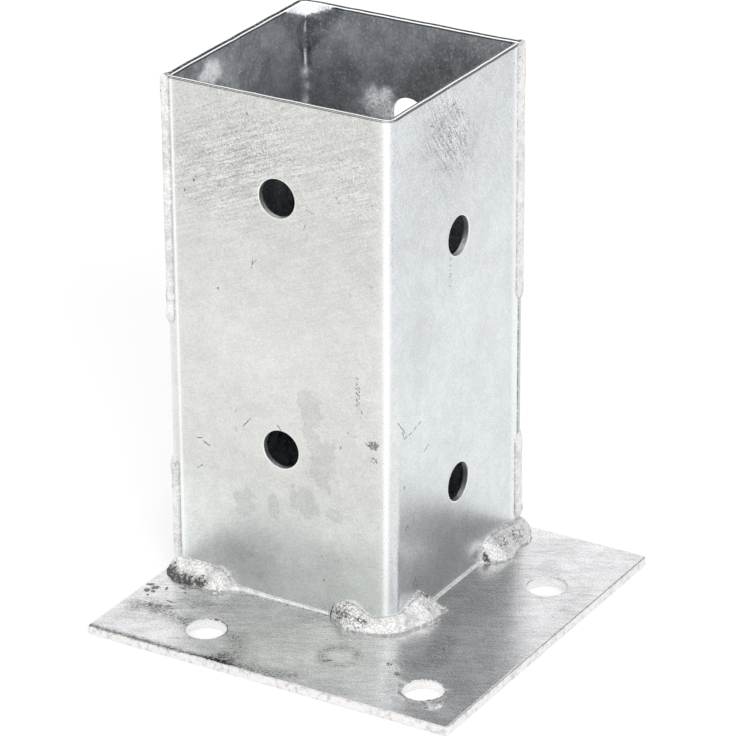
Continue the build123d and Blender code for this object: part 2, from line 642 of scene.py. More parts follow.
    def close(self, value: Socket) -> bpy.types.NodeTree:
        """Ends a group with the value that it gives."""
        self.feed(self.add("NodeGroupOutput").inputs[0], value)
        return self.tree


def new_group(name: str, output: str, inputs: dict[str, Value]) -> tuple[Graph, dict[str, Socket]]:
    """Starts a node group that gives one number.

    Args:
        name: The group's name.
        output: The name of what it gives.
        inputs: Its inputs with their first values; three numbers make a vector.

    Returns:
        The graph inside it, and its inputs by name.
    """
    tree = bpy.data.node_groups.new(name, "ShaderNodeTree")
    for key, first in inputs.items():
        kind = "NodeSocketVector" if isinstance(first, tuple) else "NodeSocketFloat"
        tree.interface.new_socket(name=key, in_out="INPUT", socket_type=kind).default_value = first
    tree.interface.new_socket(name=output, in_out="OUTPUT", socket_type="NodeSocketFloat")
    g = Graph(tree)
    return g, {socket.name: socket for socket in g.add("NodeGroupInput").outputs if socket.name}


class Effects:
    """The shared effects, each a node group that is built once."""

    def __init__(self) -> None:
        """Builds every group."""
        self.mottle = self.build_mottle()
        self.streaks = self.build_streaks()
        self.scratch = self.build_scratch()
        self.specks = self.build_specks()
        self.curls = self.build_curls()
        self.skin = self.build_skin()

    @staticmethod
    def build_mottle() -> bpy.types.NodeTree:
        """Zinc mottling: wide clouds, patches with a firm edge and fine speckle, about 0."""
        sizes = {"Cloud Size": 28.0, "Patch Size": 5.0, "Speckle Size": 0.9}
        gains = {"Cloud": 1.0, "Patch": 1.0, "Speckle": 1.0}
        g, at = new_group("zinc_mottle", "Tone", {"Place": ORIGIN, **sizes, **gains})
        cloud = g.swing(at["Place"], at["Cloud Size"])
        patch = g.ramp(g.noise(at["Place"], at["Patch Size"], 3.0, 0.6), 0.44, 0.60)
        speck = g.swing(at["Place"], at["Speckle Size"], 2.0, 0.75)
        parts = ((cloud, 2.4, "Cloud"), (g.minus(patch, 0.5), 0.6, "Patch"), (speck, 2.0, "Speckle"))
        return g.close(g.plus(*[g.times(part, gain, at[key]) for part, gain, key in parts]))

    @staticmethod
    def build_streaks() -> bpy.types.NodeTree:
        """Drag marks: noise drawn out along one direction, from -1 dark to 1 light."""
        inputs = {"Place": ORIGIN, "Along": (1.0, 0.0, 0.0), "Length": 14.0, "Width": 0.8}
        g, at = new_group("drag_streaks", "Tone", inputs)
        on_line = g.vector("SCALE", at["Along"], g.vector("DOT_PRODUCT", at["Place"], at["Along"]))
        across = g.vector("SUBTRACT", at["Place"], on_line)
        squeezed = g.vector("SCALE", on_line, g.math("DIVIDE", at["Width"], at["Length"]))
        noise = g.swing(g.vector("ADD", across, squeezed), at["Width"], 3.0, 0.65)
        return g.close(g.times(noise, 4.0))

    @staticmethod
    def build_scratch() -> bpy.types.NodeTree:
        """A scratch: the distance from the nearest point of a line, pushed about by a noise."""
        ends = {"Start": ORIGIN, "End": (1.0, 0.0, 0.0)}
        inputs = {"Place": ORIGIN, **ends, "Width": 0.25, "Noise": 0.0}
        g, at = new_group("scratch", "Mask", inputs)
        run = g.vector("SUBTRACT", at["End"], at["Start"])
        away = g.vector("SUBTRACT", at["Place"], at["Start"])
        square = g.vector("DOT_PRODUCT", run, run)
        share = g.math("DIVIDE", g.vector("DOT_PRODUCT", away, run), square, clamp=True)
        rest = g.vector("SUBTRACT", away, g.vector("SCALE", run, share))
        distance = g.plus(g.vector("LENGTH", rest), g.times(at["Noise"], at["Width"]))
        return g.close(g.ramp(distance, g.times(at["Width"], 0.5), at["Width"], (1.0, 0.0)))

    @staticmethod
    def build_specks() -> bpy.types.NodeTree:
        """Ragged specks that crowd together where a painted amount is high."""
        g, at = new_group("ragged_specks", "Mask", {"Place": ORIGIN, "Size": 0.7, "Amount": 0.0})
        low = g.minus(0.80, g.times(at["Amount"], 0.42))
        noise = g.noise(at["Place"], at["Size"], 3.0, 0.6)
        return g.close(g.ramp(noise, low, g.plus(low, 0.09)))

    @staticmethod
    def build_curls() -> bpy.types.NodeTree:
        """Thin curly lines, where a noise crosses its middle value."""
        inputs = {"Place": ORIGIN, "Size": 1.2, "Width": 0.06, "Amount": 0.0}
        g, at = new_group("curly_lines", "Mask", inputs)
        away = g.math("ABSOLUTE", g.swing(at["Place"], at["Size"], 1.5, 0.6))
        line = g.ramp(away, g.times(at["Width"], 0.3), at["Width"], (1.0, 0.0))
        return g.close(g.times(line, at["Amount"], clamp=True))

    @staticmethod
    def build_skin() -> bpy.types.NodeTree:
        """The dipped skin's height in metres: slow waves, orange peel and fine grain."""
        inputs = {"Place": ORIGIN, "Waves": 1.0, "Peel": 1.0, "Grain": 1.0}
        g, at = new_group("dipped_skin", "Height", inputs)
        total: Value = 0.0
        layers = (("Waves", 9.0, 1.0, 0.05), ("Peel", 1.9, 1.0, 0.010), ("Grain", 0.42, 2.0, 0.004))
        for name, size, detail, height in layers:
            total = g.plus(total, g.times(g.noise(at["Place"], size, detail), height, at[name]))
        return g.close(g.times(total, MM))


def begin(name: str) -> tuple[bpy.types.Material, Graph, bpy.types.Node, Socket]:
    """Starts a material, and gives it with its graph, its shader and the point in millimetres."""
    made = bpy.data.materials.new(name)
    made.use_nodes = True
    g = Graph(made.node_tree)
    return made, g, made.node_tree.nodes["Principled BSDF"], g.place()


@dataclass(frozen=True)
class Scratch:
    """A fine scratch between two points of the part's frame."""

    start: tuple[float, float, float]
    end: tuple[float, float, float]
    width: float
    strength: float = 1.0


class Face(Enum):
    """The faces that carry scratches, each with its own two coordinates."""

    FRONT = "x and z on the sleeve's -Y wall"
    SIDE = "y and z on the sleeve's +X wall"
    PLATE = "x and y on the plate's top"

    def point(self, first: float, second: float) -> tuple[float, float, float]:
        """A point of the face in the part's frame."""
        if self is Face.FRONT:
            return first, SIZES.centre_y - SIZES.half, second
        if self is Face.SIDE:
            return SIZES.centre_x + SIZES.half, first, second
        return first, second, SIZES.foot


def scratches(face: Face, *rows: tuple[float, ...]) -> tuple[Scratch, ...]:
    """Scratches on a face, from rows of both ends, a width and a strength."""
    return tuple(Scratch(face.point(*row[:2]), face.point(*row[2:4]), *row[4:]) for row in rows)


FRONT_SCRATCHES = scratches(
    Face.FRONT,
    (-28.1, 154.1, -27.6, 153.4, 0.35), (-45.3, 132, -45.5, 131.6, 0.4),
    (-46.2, 130.5, -46.4, 130.1, 0.4), (-49.6, 126.9, -49.5, 126.5, 0.32),
    (0.9, 134.5, 1.9, 132.9, 0.24, 0.7), (-9, 128.8, -6.2, 127.8, 0.26, 0.7),
    (-9.4, 123.9, -9.9, 122.7, 0.26, 0.8), (-27, 109.8, -27.6, 107.1, 0.28, 0.9),
    (-27.1, 108.7, -25.9, 109.9, 0.22, 0.8), (-39, 98.6, -39, 98.3, 0.36, 0.8),
    (4.9, 105.9, 5.2, 105.5, 0.36, 0.8), (-28.7, 59.9, -31.4, 56.7, 0.24),
    (-19.6, 59.6, -18.6, 58.3, 0.3), (-33.6, 61.4, -34.1, 60.5, 0.26), (-47.9, 49.1, -45.9, 49.4, 0.26),
    (-45.9, 48.8, -43.2, 47.5, 0.26), (-47.5, 39.5, -46.1, 40.6, 0.28), (3.8, 62.9, 6.6, 62.1, 0.2, 0.8),
    (1.5, 57.8, 1.4, 57.3, 0.32, 0.9), (-4.6, 13.8, -4.6, 13.4, 0.42), (-5.2, 21, -5.2, 20.8, 0.34),
)
FRONT_LIGHT_SCRATCHES = scratches(
    Face.FRONT,
    (6.5, 144, 6.5, 140.2, 0.22, 0.5), (6.7, 159, 6.6, 156.5, 0.22, 0.5),
)
SIDE_SCRATCHES = scratches(
    Face.SIDE,
    (-17.1, 69.8, -11.8, 63.4, 0.26, 0.9), (-13.4, 64.2, -12.4, 61.9, 0.3, 0.8),
    (-12.4, 61.9, -8.4, 62.1, 0.26, 0.9), (-7.2, 62.4, -3.3, 63.6, 0.32, 0.8),
    (-1.3, 53.2, 1, 54.4, 0.3, 0.8), (-12.5, 46.6, -12.4, 45.9, 0.36, 0.9),
    (-7.8, 12.1, -6.1, 14.8, 0.3, 0.9), (-6.6, 11.2, -4.1, 12.4, 0.3, 0.9),
    (-19.4, 92.3, -19.4, 85.6, 0.3),
)
PLATE_SCRATCHES = scratches(
    Face.PLATE,
    (-59.6, -59.75, -28, -59.8, 0.75, 0.7), (-28, -59.8, -9.3, -58.9, 0.42),
    (10.1, -43.9, 12.3, -42.8, 0.42), (-48.4, -35.7, -46.9, -35.6, 0.4),
    (-46.9, -36.3, -45.3, -35.6, 0.4), (-46.6, -38.2, -45.2, -38, 0.34),
    (-45.6, -39.6, -44.2, -38.9, 0.4),
)


def scratched(g: Graph, effects: Effects, place: Socket, marks: tuple[Scratch, ...]) -> Value:
    """The strongest of several scratches at each point.

    Args:
        g: The material's graph.
        effects: The shared groups.
        place: The point in millimetres.
        marks: The scratches.

    Returns:
        A mask from 0 to 1, or plain 0 where there are none.
    """
    if not marks:
        return 0.0
    noise = g.times(g.minus(g.noise(place, 0.8, 2.0, 0.7), 0.45), 3.4)
    total: Value = 0.0
    for one in marks:
        ends = {"Start": one.start, "End": one.end, "Width": one.width}
        mask = g.group(effects.scratch, Place=place, Noise=noise, **ends)
        total = g.most(total, g.times(mask, one.strength))
    return total


@dataclass(frozen=True)
class SheetFinish:
    """Dipped sheet: light grey, warmer on the long leg and bluer on the short leg, dull inside."""

    long_leg: tuple = (0.668, 0.676, 0.646, 1.0)
    short_leg: tuple = (0.712, 0.742, 0.764, 1.0)
    # Low on the long leg: a painted reflection tint.
    foot: tuple = (0.704, 0.732, 0.716, 1.0)
    dark: tuple = (0.115, 0.115, 0.110, 1.0)
    # Colour of the painted shade lines along the rim.
    rim_shade: tuple = (0.045, 0.045, 0.045, 1.0)
    inside: tuple = (0.665, 0.690, 0.725, 1.0)
    # Nearly white: the painted highlights, light spots, bright seam edges and light scratches.
    bright: tuple = (0.965, 0.98, 0.985, 1.0)
    metallic: float = 0.92
    roughness: float = 0.29
    inside_roughness: float = 0.36
    scratch_depth: float = 0.03
    spot_height: float = 0.30

    def tone(self, g: Graph, effects: Effects, place: Socket, leg: Socket) -> Socket:
        """How light the outside is at each point, about 1: mottling, drag marks and clouds."""
        height, brushed = g.height(place), g.value("brushed")
        mottle = g.group(effects.mottle, Place=place, Patch_Size=4.2, Speckle_Size=0.8)
        long_way = {"Along": (0.92, 0.0, 0.39), "Length": 9.0, "Width": 0.60}
        short_way = {"Along": (0.0, 0.55, -0.83), "Length": 4.5, "Width": 0.5}
        ways = [g.group(effects.streaks, Place=place, **way) for way in (long_way, short_way)]
        drag = g.add("ShaderNodeMix", {0: leg, 2: ways[0], 3: ways[1]}).outputs[0]
        strength = g.plus(g.ramp(height, 60.0, 135.0, (0.030, 0.075)), g.times(brushed, 0.24))
        coarse = g.plus(g.times(brushed, 0.9), g.ramp(height, 105.0, 150.0, (0.60, 1.05)))
        grain = g.times(g.swing(place, 0.45, 2.0, 0.8), coarse)
        shade = g.plus(1.0, g.times(mottle, 0.085), g.times(drag, strength), grain)
        ragged = g.plus(g.value("patch"), g.times(g.swing(place, 1.5, 3.0, 0.65), 1.2))
        patch = g.times(g.ramp(ragged, 0.46, 0.54), 0.125)
        shade = g.minus(shade, g.ramp(height, 75.0, 150.0, (0.0, 0.110)), patch)
        # The clouds hold painted shade by the crease at the walls' foot.
        return g.plus(shade, g.value("cloud"))

    def dull(self, g: Graph, effects: Effects, place: Socket) -> Socket:
        """How light the inside is at each point, about 1: spangle and coarse mottling."""
        bend = g.add("ShaderNodeTexNoise", {"Vector": place, "Scale": 0.3}).outputs["Color"]
        moved = g.vector("ADD", place, g.vector("SCALE", bend, 5.0))
        cells = g.add("ShaderNodeTexVoronoi", {"Vector": moved, "Scale": 0.19}, feature="SMOOTH_F1")
        picked = g.add("ShaderNodeSeparateXYZ", {"Vector": cells.outputs["Color"]}).outputs[0]
        sizes = {"Cloud_Size": 18.0, "Speckle_Size": 0.7, "Speckle": 1.5}
        mottle = g.group(effects.mottle, Place=place, **sizes)
        return g.plus(0.83, g.times(picked, 0.22), g.times(mottle, 0.32))

    @staticmethod
    def rim_lines(g: Graph, border: Socket, depth: Socket, ragged: Socket, height: Socket) -> Socket:
        """Painted shade lines along the rim: two dark lines on its outer rounding and one at its inner edge.
        """
        top = g.ramp(border, 0.06, 0.12, (1.0, 0.0))
        low = g.times(g.ramp(border, 0.20, 0.27), g.ramp(border, 0.38, 0.50, (0.8, 0.0)))
        outer = g.times(g.most(top, low), g.ramp(depth, 0.34, 0.56, (1.0, 0.0)))
        inner = g.times(g.ramp(depth, 1.10, 1.28), g.ramp(border, 0.15, 0.40, (1.0, 0.0)))
        broken = g.ramp(ragged, 0.30, 0.50, (0.55, 1.0))
        return g.times(g.most(outer, inner), broken, g.ramp(height, 157.6, 158.6))

    def outside(
        self, effects: Effects, name: str, dark_marks: tuple[Scratch, ...], light_marks: tuple[Scratch, ...]
    ) -> bpy.types.Material:
        """Builds the material of outer faces: marks, painted highlights on the rim, the hole edges and the
        fold, painted shade lines on the rim, drag marks and specks.

        Args:
            effects: The shared groups.
            name: The material's name.
            dark_marks: Dark scratches on those faces.
            light_marks: Light ones.

        Returns:
            The material.
        """
        made, g, shader, place = begin(name)
        scratch, light = (scratched(g, effects, place, marks) for marks in (dark_marks, light_marks))
        leg, fold, border, bore, depth = map(g.value, ("leg", "fold", "border", "bore", "depth"))
        ragged = g.noise(place, 0.7, 2.0, 0.7)
        # Low on the long leg the colour turns to the foot colour, a painted reflection tint.
        base = g.mix(leg, g.mix(g.value("low"), self.long_leg, self.foot), self.short_leg)
        base = g.shaded(base, self.tone(g, effects, place, leg))
        # Painted highlights: a bright ring round each hole's edge and a bright band on the rim's top. With
        # the fold's painted highlight they mix towards the bright colour.
        ring = g.times(g.ramp(bore, 0.15, 0.65, (0.85, 0.0)), g.ramp(ragged, 0.25, 0.5))
        crown = g.times(g.ramp(depth, 0.40, 0.65), g.ramp(depth, 1.12, 1.30, (1.0, 0.0)))
        lip = g.times(g.ramp(border, 0.15, 0.40, (1.0, 0.0)), crown)
        rim_highlight = g.times(lip, g.ramp(ragged, 0.3, 0.5, (0.7, 1.0)))
        glow = g.most(g.most(ring, rim_highlight), g.most(fold, g.value("bright")))
        base = g.mix(g.most(glow, light), base, self.bright)
        line = self.rim_lines(g, border, depth, ragged, g.height(place))
        wall = g.times(g.ramp(bore, 0.03, 0.10, (1.0, 0.0)), g.ramp(ragged, 0.35, 0.6, (0.5, 1.0)))
        specks = g.group(effects.specks, Place=place, Size=0.75, Amount=g.value("stain"))
        dark = g.most(scratch, specks, g.times(wall, 0.95))
        base = g.mix(g.times(dark, 0.72), base, self.dark)
        uneven = g.times(g.minus(ragged, 0.5), 0.16)
        # Less metallic along the fold, part of the fold's painted highlight.
        highlight_metal = g.minus(self.metallic, g.times(fold, 0.86))
        skin = g.group(effects.skin, Place=place, Waves=0.5, Peel=1.0, Grain=1.4)
        g.give(
            shader,
            Base_Color=g.mix(g.times(line, 0.95), base, self.rim_shade),
            Roughness=g.plus(self.roughness, uneven, g.times(line, 0.55), g.times(dark, 0.2), clamp=True),
            Metallic=g.plus(highlight_metal, g.times(line, 0.08), clamp=True),
            Normal=g.bump(g.minus(skin, g.times(dark, self.scratch_depth * MM))),
        )
        return made

    def within(self, effects: Effects) -> bpy.types.Material:
        """Builds the material of inner faces: a dull spangle, drips, rough light spots and rim lines: a
        painted highlight on the rim's inner edge and a painted shade line below it.
        """
        made, g, shader, place = begin("dipped_inside")
        height, border, bright = g.height(place), g.value("border"), g.value("bright")
        near = g.ramp(height, 157.0, 158.0)
        flecks = g.times(g.ramp(g.noise(place, 0.7, 2.0, 0.8), 0.58, 0.70), 0.62)
        # The cloud value inside holds painted shade, darker lower in the sleeve.
        base = g.shaded(self.inside, g.plus(self.dull(g, effects, place), g.value("cloud"), flecks))
        spots = g.times(bright, g.ramp(g.noise(place, 0.8, 2.0, 0.75), 0.42, 0.56, (0.15, 1.0)))
        # Painted highlight along the rim's inner edge, with a painted shade line just below it.
        light = g.times(g.ramp(border, 0.15, 0.23, (0.85, 0.0)), near)
        broken = g.most(spots, light)
        rim_shade = g.times(g.ramp(border, 0.18, 0.28), g.ramp(border, 0.55, 0.80, (0.85, 0.0)), near)
        rim_shade = g.times(rim_shade, g.minus(1.0, broken, clamp=True))
        metal = g.ramp(height, 132.0, 156.0, (self.metallic, self.metallic - 0.08))
        lumps = g.times(g.noise(place, 0.9, 2.0, 0.7), self.spot_height * MM)
        g.give(
            shader,
            Base_Color=g.mix(rim_shade, g.mix(broken, base, self.bright), self.rim_shade),
            Roughness=self.inside_roughness,
            Metallic=g.minus(metal, g.times(g.most(bright, light), 0.75), clamp=True),
            Normal=g.bump(g.times(g.value("rough"), lumps)),
        )
        return made


@dataclass(frozen=True)
class PlateFinish:
    """Dipped plate: lavender grey with stains, drag marks and a nearly white cut edge."""

    clean: tuple = (0.788, 0.788, 0.802, 1.0)
    # A greener tint over the front of the top, before the sleeve.
    greener_front: tuple = (0.775, 0.796, 0.772, 1.0)
    dark: tuple = (0.075, 0.070, 0.065, 1.0)
    edge: tuple = (0.93, 0.915, 0.905, 1.0)
    metallic: float = 0.92
    roughness: float = 0.27
    scratch_depth: float = 0.04
    lump_height: float = 0.16

    def tone(self, g: Graph, effects: Effects, place: Socket) -> Socket:
        """How light the top is at each point, about 1: mottling and two ways of drag marks."""
        sizes = {"Patch_Size": 8.0, "Speckle_Size": 0.6, "Speckle": 1.5}
        mottle = g.group(effects.mottle, Place=place, **sizes)
        wide_way = {"Along": (0.90, 0.43, 0.0), "Length": 11.0, "Width": 1.3}
        fine_way = {"Along": (0.96, 0.27, 0.0), "Length": 3.0, "Width": 0.5}
        wide, fine = (g.group(effects.streaks, Place=place, **way) for way in (wide_way, fine_way))
        grain = g.times(g.swing(place, 0.5, 2.0, 0.8), 1.25)
        shade = g.plus(1.0, g.times(mottle, 0.17), g.times(wide, 0.15), g.times(fine, 0.20), grain)
        rugged = g.ramp(g.noise(place, 0.9, 3.0, 0.7), 0.36, 0.62, (0.45, 1.55))
        # The clouds hold painted shade along the sleeve's walls.
        return g.plus(shade, g.times(g.value("cloud"), rugged))

    def material(self, effects: Effects) -> bpy.types.Material:
        """Builds the material."""
        made, g, shader, place = begin("dipped_plate")
        side, ragged = g.value("side"), g.noise(place, 0.6, 2.0, 0.7)
        base = g.shaded(g.mix(g.value("greener_front"), self.clean, self.greener_front), self.tone(g, effects, place))
        grain = g.ramp(g.noise(place, 1.8, 3.0, 0.7), 0.46, 0.68, (0.97, 0.70))
        base = g.mix(side, base, g.shaded(self.edge, grain))
        # Painted highlight round the holes' edges, in the cut edge's colour.
        base = g.mix(g.value("bright"), base, self.edge)
        specks = g.group(effects.specks, Place=place, Size=0.62, Amount=g.value("stain"))
        dark = g.most(scratched(g, effects, place, PLATE_SCRATCHES), specks)
        uneven = g.times(g.minus(ragged, 0.5), 0.2)
        skin = g.group(effects.skin, Place=place, Waves=0.8, Peel=1.5, Grain=1.8)
        skin = g.minus(skin, g.times(dark, self.scratch_depth * MM))
        lumps = g.times(g.value("rough"), g.times(ragged, self.lump_height * MM))
        g.give(
            shader,
            Base_Color=g.mix(g.times(dark, 0.8), base, self.dark),
            Roughness=g.plus(self.roughness, uneven, g.times(dark, 0.2), g.times(side, 0.25), clamp=True),
            Metallic=self.metallic,
            Normal=g.bump(g.plus(skin, lumps)),
        )
        return made


@dataclass(frozen=True)
class WeldFinish:
    """Dipped weld metal: nearly white, with grey toes and dark pits where the flux burned."""

    clean: tuple = (0.885, 0.885, 0.875, 1.0)
    dull: tuple = (0.47, 0.47, 0.47, 1.0)
    toe: tuple = (0.12, 0.12, 0.12, 1.0)
    smoke: tuple = (0.19, 0.175, 0.16, 1.0)
    dark: tuple = (0.055, 0.052, 0.050, 1.0)
    curl: tuple = (0.07, 0.07, 0.07, 1.0)
    metallic: float = 0.42
    roughness: float = 0.37
    pit_depth: float = 0.10
    curl_depth: float = 0.05

    def material(self, effects: Effects) -> bpy.types.Material:
        """Builds the material."""
        made, g, shader, place = begin("dipped_weld")
        burned = g.value("burned")
        sizes = {"Cloud_Size": 8.0, "Patch_Size": 2.0, "Speckle_Size": 0.5, "Speckle": 1.6}
        tone = g.group(effects.mottle, Place=place, **sizes)
        toe = g.times(g.value("toe"), g.ramp(g.noise(place, 1.2, 2.0), 0.35, 0.5))
        smoke = g.ramp(g.noise(place, 0.6, 2.0, 0.7), 0.32, 0.56, (0.25, 0.85))
        smoke = g.times(smoke, g.ramp(burned, 0.45, 0.95))
        pits = g.group(effects.specks, Place=place, Size=0.85, Amount=burned)
        curls = g.group(effects.curls, Place=place, Amount=g.value("curled"))
        base = g.mix(g.ramp(tone, -0.9, 0.9, (0.0, 0.60)), self.clean, self.dull)
        base = g.mix(smoke, g.mix(g.times(toe, 0.72), base, self.toe), self.smoke)
        base = g.mix(g.times(pits, 0.82), base, self.dark)
        skin = g.group(effects.skin, Place=place, Waves=0.6, Peel=3.4, Grain=3.6)
        sunk = g.times(pits, self.pit_depth * MM)
        g.give(
            shader,
            Base_Color=g.mix(g.times(curls, 0.9), base, self.curl),
            Roughness=g.plus(self.roughness, g.times(pits, 0.3)),
            Metallic=self.metallic,
            Normal=g.bump(g.minus(skin, sunk, g.times(curls, self.curl_depth * MM))),
        )
        return made


# The pieces


def dress(piece: bpy.types.Object, materials: list[bpy.types.Material], node: str) -> None:
    """Gives a piece its materials and its body, and hides the solid that it stands for."""
    for material in materials:
        piece.data.materials.append(material)
    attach(piece, "root")
    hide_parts(node)
    LOG.info("%s stands for %s with %d faces", piece.name, node, len(piece.data.polygons))


def turned(points: np.ndarray, degrees: float) -> np.ndarray:
    """Points turned about the sleeve's axis and set where the sleeve stands."""
    cosine, sine = round(math.cos(math.radians(degrees))), round(math.sin(math.radians(degrees)))
    x, y, z = points[..., 0], points[..., 1], points[..., 2]
    return np.stack(
        [SIZES.centre_x + cosine * x - sine * y, SIZES.centre_y + sine * x + cosine * y, z],
        axis=-1,
    )


def ring_trail(
    centre: tuple[float, float], radius: float, start: float, stop: float, width: float, strength: float
) -> Trail:
    """A line of marks along an arc, from one bearing in degrees to another."""
    bearings = np.radians(np.linspace(start, stop, 12))
    path = zip(centre[0] + radius * np.cos(bearings), centre[1] + radius * np.sin(bearings))
    return Trail(tuple(path), width, strength)


@dataclass
class BasePlate:
    """The flat plate with its three screw holes, a burr at its front corner and its marks."""

    holes: tuple[tuple[float, float], ...] = ((-28.9, -44.7), (43.6, -44.7), (43.6, 27.8))
    corner: float = 0.8
    edge: float = 0.5
    hole_edge: float = 0.35
    step: float = 0.62
    seed: int = 3
    waves: tuple[tuple[float, float], ...] = ((14.0, 0.05), (5.0, 0.015))
    upper_reach: float = 1.2
    burr: tuple[float, float] = (50.6, -50.6)
    burr_reach: float = 2.2
    burr_height: float = 0.85
    lump_height: float = 0.26
    ripple_height: float = 0.09
    rippled: Blot = Blot((31.0, -42.0), (17.0, 5.0), 1.0, -58.0, 0.8)
    bright_spot: Blot = Blot((58.4, -50.4), (1.9, 1.2), 0.8)
    greener_front: Blot = Blot((4.0, -40.0), (46.0, 24.0), 1.0, 0.0, 0.9)

    def stains(self) -> Marks:
        """Where dark specks crowd together on the top face."""
        left, front, right = self.holes
        return (
            *blots(
                (-58.4, -29.6, 2, 1.1, 1.5, 31, 0.4), (-57.2, -33.2, 1.2, 1.3, 1.5, 31, 0.4),
                (-56, -30.4, 1.8, 1.3, 1.5, 50, 0.4), (-55, -33, 0.9, 0.8, 1.4, 31, 0.4),
                (-55.4, -35.4, 0.8, 1, 1.4, 31, 0.4), (-52.6, -29.8, 1.4, 2.6, 0.95, 31, 0.8),
                (-46.4, -29.2, 1.2, 0.8, 0.95), (-40.9, -32.8, 0.8, 0.6, 1),
                (-35.5, -31.5, 1.3, 0.9, 0.8), (-53.6, -41.6, 2.8, 2.4, 0.82, 31, 0.9),
                (-55.6, -31.2, 5.6, 4, 0.66, 40, 0.8), (-48, -26.4, 7, 2.4, 0.86, 10, 0.8),
                (-51.6, -40.6, 2.2, 1.4, 0.9, 31, 0.8), (-42, -42.8, 3, 2.4, 0.84, 31, 0.9),
                (-36.4, -44.6, 2, 1.8, 0.84, 31, 0.9), (-32.9, -40.3, 1.2, 0.7, 1, 40, 0.6),
                (-31.2, -39.2, 0.7, 0.7, 0.9), (-29.3, -38.4, 1.3, 0.8, 1.4, 10, 0.5),
                (-9.5, -45, 5, 2.6, 0.58, 10, 0.9), (11, -43.4, 5.6, 2.4, 0.72, 28, 0.8),
                (27.7, -36.3, 1.6, 1.2, 0.95), (32.7, -40.1, 2.2, 1.4, 0.9),
                (44, -20.2, 3.4, 1.8, 0.72, 20), (49.4, -52.8, 1.5, 1.3, 1),
                (52.4, -48.8, 3.4, 1.8, 0.72, 50), (38.2, -38.8, 4, 1.3, 0.64, 10),
                (20, -52, 20, 6, 0.36, 4, 1), (-40, -50, 12, 6, 0.26, 0, 1), (30, 0, 9, 40, 0.3, 0, 1),
            ),
            *trails(
                (2.6, 0.66, (-54.2, -43.8), (-55.6, -41.6), (-53.2, -39.6), (-48.6, -41)),
                (3.4, 0.64, (-48.6, -41), (-44.9, -42), (-37.2, -43.3), (-33.4, -45)),
                (3.2, 0.68, (-19.6, -44.2), (-16.4, -47.2), (-14.9, -52), (-15.8, -58.4)),
                (3.2, 0.7, (-15.8, -58.4), (-10.1, -58.2), (-5.4, -58.2), (1.7, -58.6), (7, -55.6)),
            ),
            ring_trail((13.0, -39.6), 5.4, 20.0, 340.0, 1.6, 0.62),
            *trails(
                (3.4, 0.66, (31, -33), (36.7, -29), (37.4, -24.5), (35, -17)),
                (1, 0.72, (-35, -20.6), (-22, -20.3), (6, -20)),
            ),
            ring_trail(left, 6.25, -25.0, 75.0, 0.5, 1.1),
            ring_trail(front, 6.6, -60.0, 250.0, 1.3, 0.70),
            ring_trail(right, 6.5, -50.0, 110.0, 0.9, 0.62),
        )

    def smears(self) -> list[Trail]:
        """A soft dark smear along each line of specks and along the left part of the cut edge."""
        lines = [mark for mark in self.stains() if isinstance(mark, Trail) and mark.width > 1.4]
        soft = [Trail(mark.path, 1.7 * mark.width, -0.32 * mark.strength) for mark in lines]
        return [*soft, Trail(((-59.4, -59.6), (-39.0, -59.4), (-12.0, -59.4)), 1.7, -0.42)]

    def clouds_and_shade(self) -> Marks:
        """Wide lighter and darker areas of the top face; the darker bands along the sleeve's walls are
        painted shade.
        """
        return blots(
            (-37, -31.5, 15, 7, -0.12, 0, 1), (-5, -23.5, 32, 6, -0.14, 0, 1),
            (-2, -43, 34, 15, 0.1, 0, 0.9), (31, -42, 19, 5.5, 0.12, -58, 0.9),
            (-20, -54.5, 12, 4, -0.06, 0, 1), (-50, -50, 13, 8, -0.08, 0, 1),
            (56, 24, 7, 14, -0.11, 0, 1), (4, -46, 10, 4, 0.05, 30, 0.6), (28, 5, 9, 40, -0.04, 0, 1),
            (46, -54, 18, 8, 0.17, 0, 1), (30, -33, 12, 7, 0.05, 0, 1), (-4, -55, 16, 5, 0.06, 0, 1),
            (24, -8, 6, 14, -0.06, 0, 1), (55, -48, 7, 9, 0.16, 0, 1), (40, -20, 11, 9, 0.11, 0, 1),
            (12, -51, 14, 6, 0.06, 0, 1), (-53, -54, 9, 7, -0.07, 0, 1), (-43, -36, 10, 7, -0.1, 31, 1),
            (-38, -32, 9, 6, -0.06, 0, 1),
        )

    def shell(self) -> Shell:
        """The plate's skin: a holed sheet with slow waves, a burr and lumps by the front hole.

        Returns:
            The skin with its painted values.
        """
        reach = SIZES.plate / 2
        sheet = HoledSheet(
            low=(-reach, -reach),
            high=(reach, reach),
            gauge=SIZES.foot,
            corner=self.corner,
            edge=self.edge,
            hole_edge=self.hole_edge,
            step=self.step,
            holes=tuple(Hole(x, y, SIZES.plate_hole) for x, y in self.holes),
        )
        points, quads = sheet.skin()
        border, bore = sheet.distances(points)
        x, y, w = points.T
        plan = points[:, :2]
        flat = points * (1, 1, 0)
        upper = np.clip(1.0 + w / self.upper_reach, 0.0, 1.0)
        waves = layered(flat, self.waves, self.seed)
        burr = bell(np.hypot(x - self.burr[0], y - self.burr[1]), 0.0, self.burr_reach)
        lumps = 0.45 + 0.9 * smooth_noise(flat, 1.2, self.seed + 2)
        from_hole = np.hypot(x - self.holes[1][0], y - self.holes[1][1])
        lip = bell(from_hole, SIZES.plate_hole + 0.7, 0.7)
        patch = self.rippled.mask(plan)
        grain = smooth_noise(flat * (0.6, 1.6, 1), 2.6, self.seed + 3)
        ripple = patch * self.ripple_height * (grain - 0.3)
        rise = burr * self.burr_height * lumps + lip * self.lump_height * lumps + ripple
        rise -= np.abs(waves) * np.clip(border / 3, 0, 1)
        points = points + np.stack([0 * x, 0 * x, SIZES.foot + rise * upper], axis=1)
        top = w > -0.2
        spot = painted(plan, (self.bright_spot,)) * top
